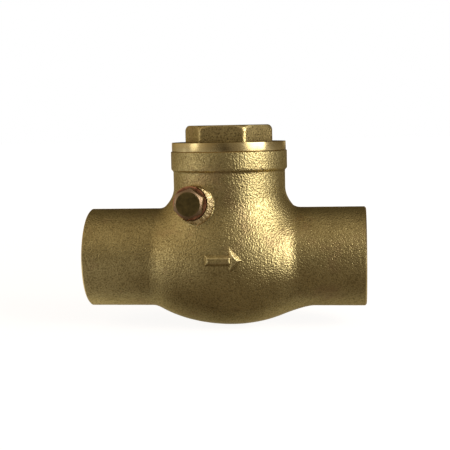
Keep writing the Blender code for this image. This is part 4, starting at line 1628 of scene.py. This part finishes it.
@dataclass
class SwingArm:
    """The cast arm: knuckle, web and rib, the eye for the disc's stud, and the stop heel."""

    shop: Workshop
    knuckle_radius: float = 0.0026
    knuckle_length: float = 0.0090
    front_x: float = -0.0075
    back_x: float = -0.0050
    eye_step: float = 0.00025
    web_drop: float = 0.0008
    width_top: float = 0.0076
    width_foot: float = 0.0059
    eye_radius: float = 0.0037
    rib_width: float = 0.0016
    rib_rise: float = 0.0011
    rib_foot: float = 0.0040
    rib_drop: float = 0.0013
    heel_width: float = 0.0044
    heel_thickness: float = 0.0023
    heel_top: float = 0.01944
    stud_hole: float = 0.0023
    stud_hole_x: Pair = (-0.009, -0.001)
    relief_depth: float = 0.00003
    mesher: SkinMesher = field(default_factory=lambda: SkinMesher(0.00020))

    def distance(self, points: np.ndarray) -> np.ndarray:
        """Distances from the arm before it is drilled."""
        sizes = self.shop.sizes
        half = self.knuckle_length / 2
        local = Spin.ACROSS.local(points, sizes.pin_line)
        knuckle = rounded_rod(local, self.knuckle_radius, -half, half, FULL)
        web_top = sizes.pin_z - self.web_drop
        share = np.clip(points[:, 2] / web_top, 0, 1)
        width = self.width_foot + (self.width_top - self.width_foot) * share
        front, back = self.front_x + self.eye_step, self.back_x - self.eye_step
        web = rounded_box(points, (front, -1.0, 0.0), (back, 1.0, web_top), FULL)
        web = round_common(web, abs(points[:, 1]) - width / 2, 2 * FULL)
        local = Spin.ALONG.local(points, (0, 0, 0))
        eye = rounded_rod(local, self.eye_radius, self.front_x, self.back_x, SOFT)
        rib = rounded_box(
            points,
            ((front + back) / 2, -self.rib_width / 2, self.rib_foot),
            (self.back_x + self.rib_rise, self.rib_width / 2, sizes.pin_z - self.rib_drop),
            2 * SOFT,
        )
        heel = rounded_box(
            points,
            (sizes.pin_x, -self.heel_width / 2, sizes.pin_z),
            (sizes.pin_x + self.heel_thickness, self.heel_width / 2, self.heel_top),
            FULL,
        )
        whole = knuckle
        for limb, fillet in ((web, 5 * FINE), (eye, FULL), (rib, 2 * SOFT), (heel, 5 * FINE)):
            whole = round_union(whole, limb, fillet)
        return whole

    def build(self) -> None:
        """Makes the arm and drills it."""
        sizes, margin = self.shop.sizes, GRID_MARGIN
        half = self.knuckle_length / 2 + margin
        low = (sizes.pin_x - self.knuckle_radius - margin, -half, -self.eye_radius - margin)
        high = (self.back_x + 4 * margin, half, self.heel_top + margin)
        piece = self.mesher.piece("swing_arm", self.distance, low, high)
        self.shop.relief.grow(piece, Depth=self.relief_depth, Finish=self.shop.cast)
        pin_hole = sizes.pin_radius + sizes.gap
        for name, radius, start, end, spin, centre in (
            ("knuckle_bore", pin_hole, -half, half, Spin.ACROSS, sizes.pin_line),
            ("stud_hole", self.stud_hole, *self.stud_hole_x, Spin.ALONG, (0.0, 0.0, 0.0)),
        ):
            rod = [(0.0, start), (radius, start), (radius, end), (0.0, end)]
            drill = self.shop.turned.spin(name, rod, self.shop.bored, spin, centre, 64)
            joined(piece, drill, Join.CUT)
        marked_edges(piece, self.distance)
        settled(piece, "arm", "disc_arm")


@dataclass
class Flap:
    """The disc and all that is fixed on it: the seal and its clamp in front, the nut behind."""

    shop: Workshop
    disc_radius: float = 0.0104
    disc_front_x: float = -0.0106
    pocket_x: float = -0.0093
    stud_radius: float = 0.0020
    stud_end_x: float = -0.0008
    seal_radius: float = 0.0093
    seal_x: Pair = (-0.0111, -0.0096)
    screw_radius: float = 0.0011
    screw_end_x: float = -0.0073
    head_radius: float = 0.0022
    head_crown: float = 0.0013
    head_top_x: float = -0.0138
    head_back_x: float = -0.0125
    slot_width: float = 0.0007
    slot_depth: float = 0.00065
    retainer_radius: float = 0.0052
    retainer_x: Pair = (-0.0122, -0.0114)
    nut_flats: float = 0.0064
    nut_x: Pair = (-0.0038, -0.0014)
    nut_chamfer: float = 0.00024
    nut_corner: float = 0.00015
    nut_washer_radius: float = 0.0034
    nut_washer_x: Pair = (-0.0047, -0.0041)
    gap: float = 0.0003
    mesher: SkinMesher = field(default_factory=lambda: SkinMesher(0.00014))

    def ring(
        self,
        name: str,
        inner: float,
        outer: float,
        span: Pair,
        edge: float,
        finish: Material,
    ) -> Object:
        """A flat ring on the disc's axis, with rounded rims.

        Args:
            name: The piece's name.
            inner: The radius of its hole.
            outer: Its own radius.
            span: Where it starts and ends along the axis.
            edge: The size of its rims' rounding.
            finish: The material.

        Returns:
            The ring.
        """
        corners = ring_outline(inner, outer, *span, edge)
        return self.shop.turned.spin(name, corners, finish, Spin.ALONG)

    def build(self) -> None:
        """Makes the disc and its fittings."""
        brass = MachinedBrass("disc_brass", Spin.ALONG).material()
        steel = Steel("screw_steel", Spin.ALONG).material()
        back, hole = self.shop.sizes.disc_back_x, self.screw_radius + self.gap
        pocket = self.seal_radius + self.gap
        corners = [
            (0.0, self.screw_end_x + self.gap),
            (hole, self.screw_end_x + self.gap),
            (hole, self.pocket_x, SOFT),
            (pocket, self.pocket_x, FINE),
            (pocket, self.disc_front_x, FINE),
            (self.disc_radius, self.disc_front_x, SOFT),
            (self.disc_radius, back, FULL),
            (self.stud_radius, back, SOFT),
            (self.stud_radius, self.stud_end_x, 2 * SOFT),
            (0.0, self.stud_end_x),
        ]
        disc = self.shop.turned.spin("clapper", corners, brass, Spin.ALONG, steps=128)
        settled(disc, "flap", "disc", even=True)
        seal = self.ring("seal_ring", hole, self.seal_radius, self.seal_x, FULL, self.shop.rubber)
        settled(seal, "flap", "disc_seal", even=True)
        clamp = self.ring("clamp_washer", hole, self.retainer_radius, self.retainer_x, SOFT, brass)
        settled(clamp, "flap", "seal_retainer", even=True)
        self._build_screw(steel)
        bore, span = self.stud_radius + self.gap, self.nut_washer_x
        washer = self.ring("stud_washer", bore, self.nut_washer_radius, span, FINE, steel)
        settled(washer, "flap", "nut_washer", even=True)
        self._build_nut(brass, bore)

    def _build_screw(self, steel: Material) -> None:
        """Makes the slotted screw that holds the seal."""
        corners = [
            (0.0, self.head_top_x),
            (self.head_crown, self.head_top_x, 5 * FINE),
            (self.head_radius, (self.head_top_x + self.head_back_x) / 2, 2 * SOFT),
            (self.head_radius, self.head_back_x, FINE),
            (self.screw_radius, self.head_back_x, FINE),
            (self.screw_radius, self.screw_end_x, FULL),
            (0.0, self.screw_end_x),
        ]
        screw = self.shop.turned.spin("slotted_screw", corners, steel, Spin.ALONG)
        half = self.slot_width / 2
        low = (self.head_top_x - GRID_MARGIN, -half, -2 * self.head_radius)
        high = (self.head_top_x + self.slot_depth, half, 2 * self.head_radius)
        joined(screw, block("driver_slot", low, high, steel), Join.CUT)
        settled(screw, "flap", "seal_screw")

    def _build_nut(self, brass: Material, hole: float) -> None:
        """Makes the nut on the disc's stud.

        Args:
            brass: The material.
            hole: The radius of its bore.
        """
        head = HexagonHead(
            flats=self.nut_flats,
            low=self.nut_x[0],
            high=self.nut_x[1],
            turn=0.0,
            clip_radius=self.nut_flats / 2,
            clip_depth=self.nut_chamfer,
            corner_radius=self.nut_corner,
            edge_radius=FINE,
        )

        def distance(points: np.ndarray) -> np.ndarray:
            """Distances from the nut's hexagon."""
            return head.distance(Spin.ALONG.local(points, (0, 0, 0)))

        margin = GRID_MARGIN / 2
        reach = self.nut_flats / sqrt(3) + margin
        front, back = self.nut_x
        low, high = (front - margin, -reach, -reach), (back + margin, reach, reach)
        nut = self.mesher.piece("stud_nut", distance, low, high, brass)
        corners = [
            (0.0, front - GRID_MARGIN),
            (hole + FULL + GRID_MARGIN, front - GRID_MARGIN),
            (hole, front + FULL),
            (hole, back - FULL),
            (hole + FULL + GRID_MARGIN, back + GRID_MARGIN),
            (0.0, back + GRID_MARGIN),
        ]
        joined(nut, self.shop.turned.spin("nut_bore", corners, brass, Spin.ALONG), Join.CUT)
        settled(nut, "flap", "disc_nut")


# Studio


@dataclass(frozen=True)
class Softbox:
    """A square lamp that looks at the valve's middle."""

    name: str
    azimuth: float
    elevation: float
    distance: float
    width: float
    height: float
    watts: float
    colour: Colour = (1.0, 1.0, 1.0)

    def build(self, target: Vector) -> None:
        """Hangs the lamp.

        Args:
            target: Where it looks.
        """
        lamp = bpy.data.lights.new(self.name, "AREA")
        lamp.shape = "RECTANGLE"
        lamp.size, lamp.size_y = self.width, self.height
        lamp.energy = self.watts
        lamp.color = self.colour
        obj = bpy.data.objects.new(self.name, lamp)
        bpy.context.scene.collection.objects.link(obj)
        turn, rise = radians(self.azimuth), radians(self.elevation)
        away = Vector((sin(turn) * cos(rise), -cos(turn) * cos(rise), sin(rise)))
        obj.location = target + away * self.distance
        obj.rotation_euler = (-away).to_track_quat("-Z", "Y").to_euler()
        obj.visible_camera = False


@dataclass
class Studio:
    """The floor, the lamps, the white surroundings and the camera.

    Lengths are in metres. A pair of places says where a light or a tone starts and where it is
    full, or the other way round where it fades.
    """

    floor_size: float = 6.0
    floor_drop: float = 0.0001
    floor_tone: Colour = (0.28, 0.25, 0.22)
    floor_glow: Pair = (0.90, 0.99)
    floor_glow_reach: Pair = (0.1, 0.6)
    # Glows that the floor shows only in the valve's reflections: painted reflections
    floor_sheen: float = 0.46
    floor_sheen_y: Pair = (-0.012, -0.002)
    floor_sheen_end_y: Pair = (0.08, 0.02)
    floor_sheen_dip_x: Pair = (0.012, 0.030)
    floor_sheen_dip: float = 0.65
    left_sheen: float = 0.34
    left_sheen_x: Pair = (-0.02, -0.06)
    right_sheen: float = 0.16
    right_sheen_x: Pair = (0.12, 0.25)
    # A floor patch in front, painted dark so that the valve's reflections show painted shade there
    reflected_dark_tone: Colour = (0.05, 0.04, 0.03)
    reflected_dark_x: float = -0.09
    reflected_dark_reach: Pair = (0.22, 0.11)
    reflected_dark_y: Pair = (-0.20, -0.30)
    white_y: Pair = (0.80, 0.98)
    white_z: Pair = (0.07, 0.02)
    sky_behind: float = 0.16
    sky_front_y: Pair = (0.6, -0.2)
    sky_above: Pair = (0.20, 0.60)
    sky_above_z: Pair = (0.10, 0.85)
    sky_dip: float = 0.45
    sky_dip_x: float = -0.08
    sky_dip_reach: Pair = (0.06, 0.26)
    sky_left: float = 0.32
    sky_left_x: Pair = (-0.4, -0.8)
    sky_tint: Colour = (1.0, 0.85, 0.65)
    camera_place: Place = (0.03033, -0.26266, 0.03475)
    camera_heading: float = radians(6.890)
    camera_pitch: float = radians(-5.695)
    camera_roll: float = radians(-1.129)
    lens: float = 80.1
    lamps: tuple[Softbox, ...] = (
        Softbox("key_softbox", 62.0, 13.0, 0.42, 0.28, 0.44, 2.0),
        Softbox("left_softbox", -65.0, 4.0, 0.42, 0.11, 0.16, 0.105),
    )

    def build(self) -> None:
        """Sets everything up round the valve."""
        middle = (CAD_BOX[0] + CAD_BOX[1]) / 2
        for lamp in self.lamps:
            lamp.build(middle)
        self._lay_floor()
        self._light_world()
        self._place_camera()
        bpy.context.scene.view_settings.view_transform = "Standard"

    def _lay_floor(self) -> None:
        """Lays the pale floor just under the valve, with painted reflections: glows and a dark
        patch that only the valve's reflections see.
        """
        half, height = self.floor_size / 2, CAD_BOX[0].z - self.floor_drop
        mesh = bpy.data.meshes.new("floor")
        spots = [(x * half, y * half, height) for x, y in ((-1, -1), (1, -1), (1, 1), (-1, 1))]
        mesh.from_pydata(spots, [], [(0, 1, 2, 3)])
        graph = SurfaceGraph("pale_floor")
        x, y, _ = graph.add("ShaderNodeSeparateXYZ", {0: graph.place}).outputs
        path = graph.add("ShaderNodeLightPath").outputs
        # Painted reflection: a dark patch in front, which also puts out the reflected glows over it
        aside = graph.math("ABSOLUTE", graph.math("ADD", x, -self.reflected_dark_x))
        reflected_dark_patch = graph.times(graph.spread(aside, *self.reflected_dark_reach), graph.spread(y, *self.reflected_dark_y))
        tone = graph.colour(reflected_dark_patch, self.floor_tone, self.reflected_dark_tone)
        paint = graph.add("ShaderNodeBsdfDiffuse", {"Color": tone})
        far = graph.vector("LENGTH", graph.place)
        white = graph.spread(far, *self.floor_glow_reach, *self.floor_glow)
        sheen = graph.math("ADD", self._under_sheen(graph, x, y), self._side_sheens(graph, x))
        sheen = graph.times(sheen, graph.spread(reflected_dark_patch, 0.0, 1.0, 1.0, 0.0))
        seen = graph.times(path["Is Camera Ray"], white)
        # Painted reflection: the floor glows only for rays that the metal reflects
        mirrored = graph.times(path["Is Glossy Ray"], sheen)
        strength = graph.math("ADD", seen, mirrored)
        glow = graph.add("ShaderNodeEmission", {"Strength": strength})
        both = graph.add("ShaderNodeAddShader", {0: paint.outputs[0], 1: glow.outputs[0]})
        graph.add("ShaderNodeOutputMaterial", {"Surface": both.outputs[0]})
        mesh.materials.append(graph.material)
        linked("floor", mesh)

    def _under_sheen(self, graph: SurfaceGraph, x: Any, y: Any) -> NodeSocket:
        """A glow that the floor under the valve and behind it shows only in the valve's
        reflections: a painted reflection.

        Args:
            graph: The floor's nodes.
            x: The place along the pipe.
            y: The place across it.

        Returns:
            The glow.
        """
        return graph.times(
            graph.spread(y, *self.floor_sheen_y, 0.0, self.floor_sheen),
            graph.spread(y, *self.floor_sheen_end_y),
            graph.spread(x, *self.floor_sheen_dip_x, 1.0, self.floor_sheen_dip),
        )

    def _side_sheens(self, graph: SurfaceGraph, x: Any) -> NodeSocket:
        """A glow that the floor to the left and right of the valve shows only in its reflections: a
        painted reflection.

        Args:
            graph: The floor's nodes.
            x: The place along the pipe.

        Returns:
            The glow.
        """
        left = graph.spread(x, *self.left_sheen_x, 0.0, self.left_sheen)
        right = graph.spread(x, *self.right_sheen_x, 0.0, self.right_sheen)
        return graph.math("ADD", left, right)

    def _light_world(self) -> None:
        """Surrounds the valve with grey light, and with white where it shows as background."""
        world = bpy.data.worlds.new("surroundings")
        world.use_nodes = True
        bpy.context.scene.world = world
        graph = NodeGraph(world.node_tree)
        way = graph.add("ShaderNodeTexCoord").outputs["Generated"]
        x, y, z = graph.add("ShaderNodeSeparateXYZ", {0: way}).outputs
        path = graph.add("ShaderNodeLightPath").outputs
        level = graph.spread(graph.math("ABSOLUTE", z), *self.white_z)
        band = graph.times(graph.spread(y, *self.white_y), level)
        shown = graph.times(path["Is Glossy Ray"], band)
        for ray in ("Is Camera Ray", "Is Transmission Ray"):
            shown = graph.math("MAXIMUM", shown, path[ray])
        above = graph.spread(z, *self.sky_above_z, *self.sky_above)
        front = graph.spread(y, *self.sky_front_y, self.sky_behind, above)
        aside = graph.math("ABSOLUTE", graph.math("ADD", x, -self.sky_dip_x))
        front = graph.times(front, graph.spread(aside, *self.sky_dip_reach, self.sky_dip, 1.0))
        left = graph.spread(x, *self.sky_left_x, 0.0, self.sky_left)
        strength = graph.spread(shown, 0.0, 1.0, graph.math("ADD", front, left), 1.0)
        tone = graph.colour(shown, self.sky_tint, (1.0, 1.0, 1.0))
        sky = graph.add("ShaderNodeBackground", {"Color": tone, "Strength": strength})
        graph.add("ShaderNodeOutputWorld", {0: sky.outputs[0]})

    def _place_camera(self) -> None:
        """Stands the camera where the photograph was taken from."""
        data = bpy.data.cameras.new("camera")
        data.lens, data.sensor_width = self.lens, 36.0
        data.clip_start, data.clip_end = 0.01, 50.0
        camera = bpy.data.objects.new("camera", data)
        bpy.context.scene.collection.objects.link(camera)
        turn = Matrix.Rotation(self.camera_heading, 4, "Z")
        turn = turn @ Matrix.Rotation(pi / 2 + self.camera_pitch, 4, "X")
        turn = turn @ Matrix.Rotation(self.camera_roll, 4, "Z")
        camera.matrix_world = Matrix.Translation(self.camera_place) @ turn
        bpy.context.scene.camera = camera


def main() -> None:
    """Builds every sub-assembly in order, then the studio."""
    logging.basicConfig(level=logging.INFO, format="%(message)s")
    shop = Workshop()
    for part in (Casting(shop), Bonnet(shop), Hinge(shop), SwingArm(shop), Flap(shop)):
        part.build()
        LOG.info("%s is built", type(part).__name__)
    Studio().build()


if __name__ == "__main__":
    main()
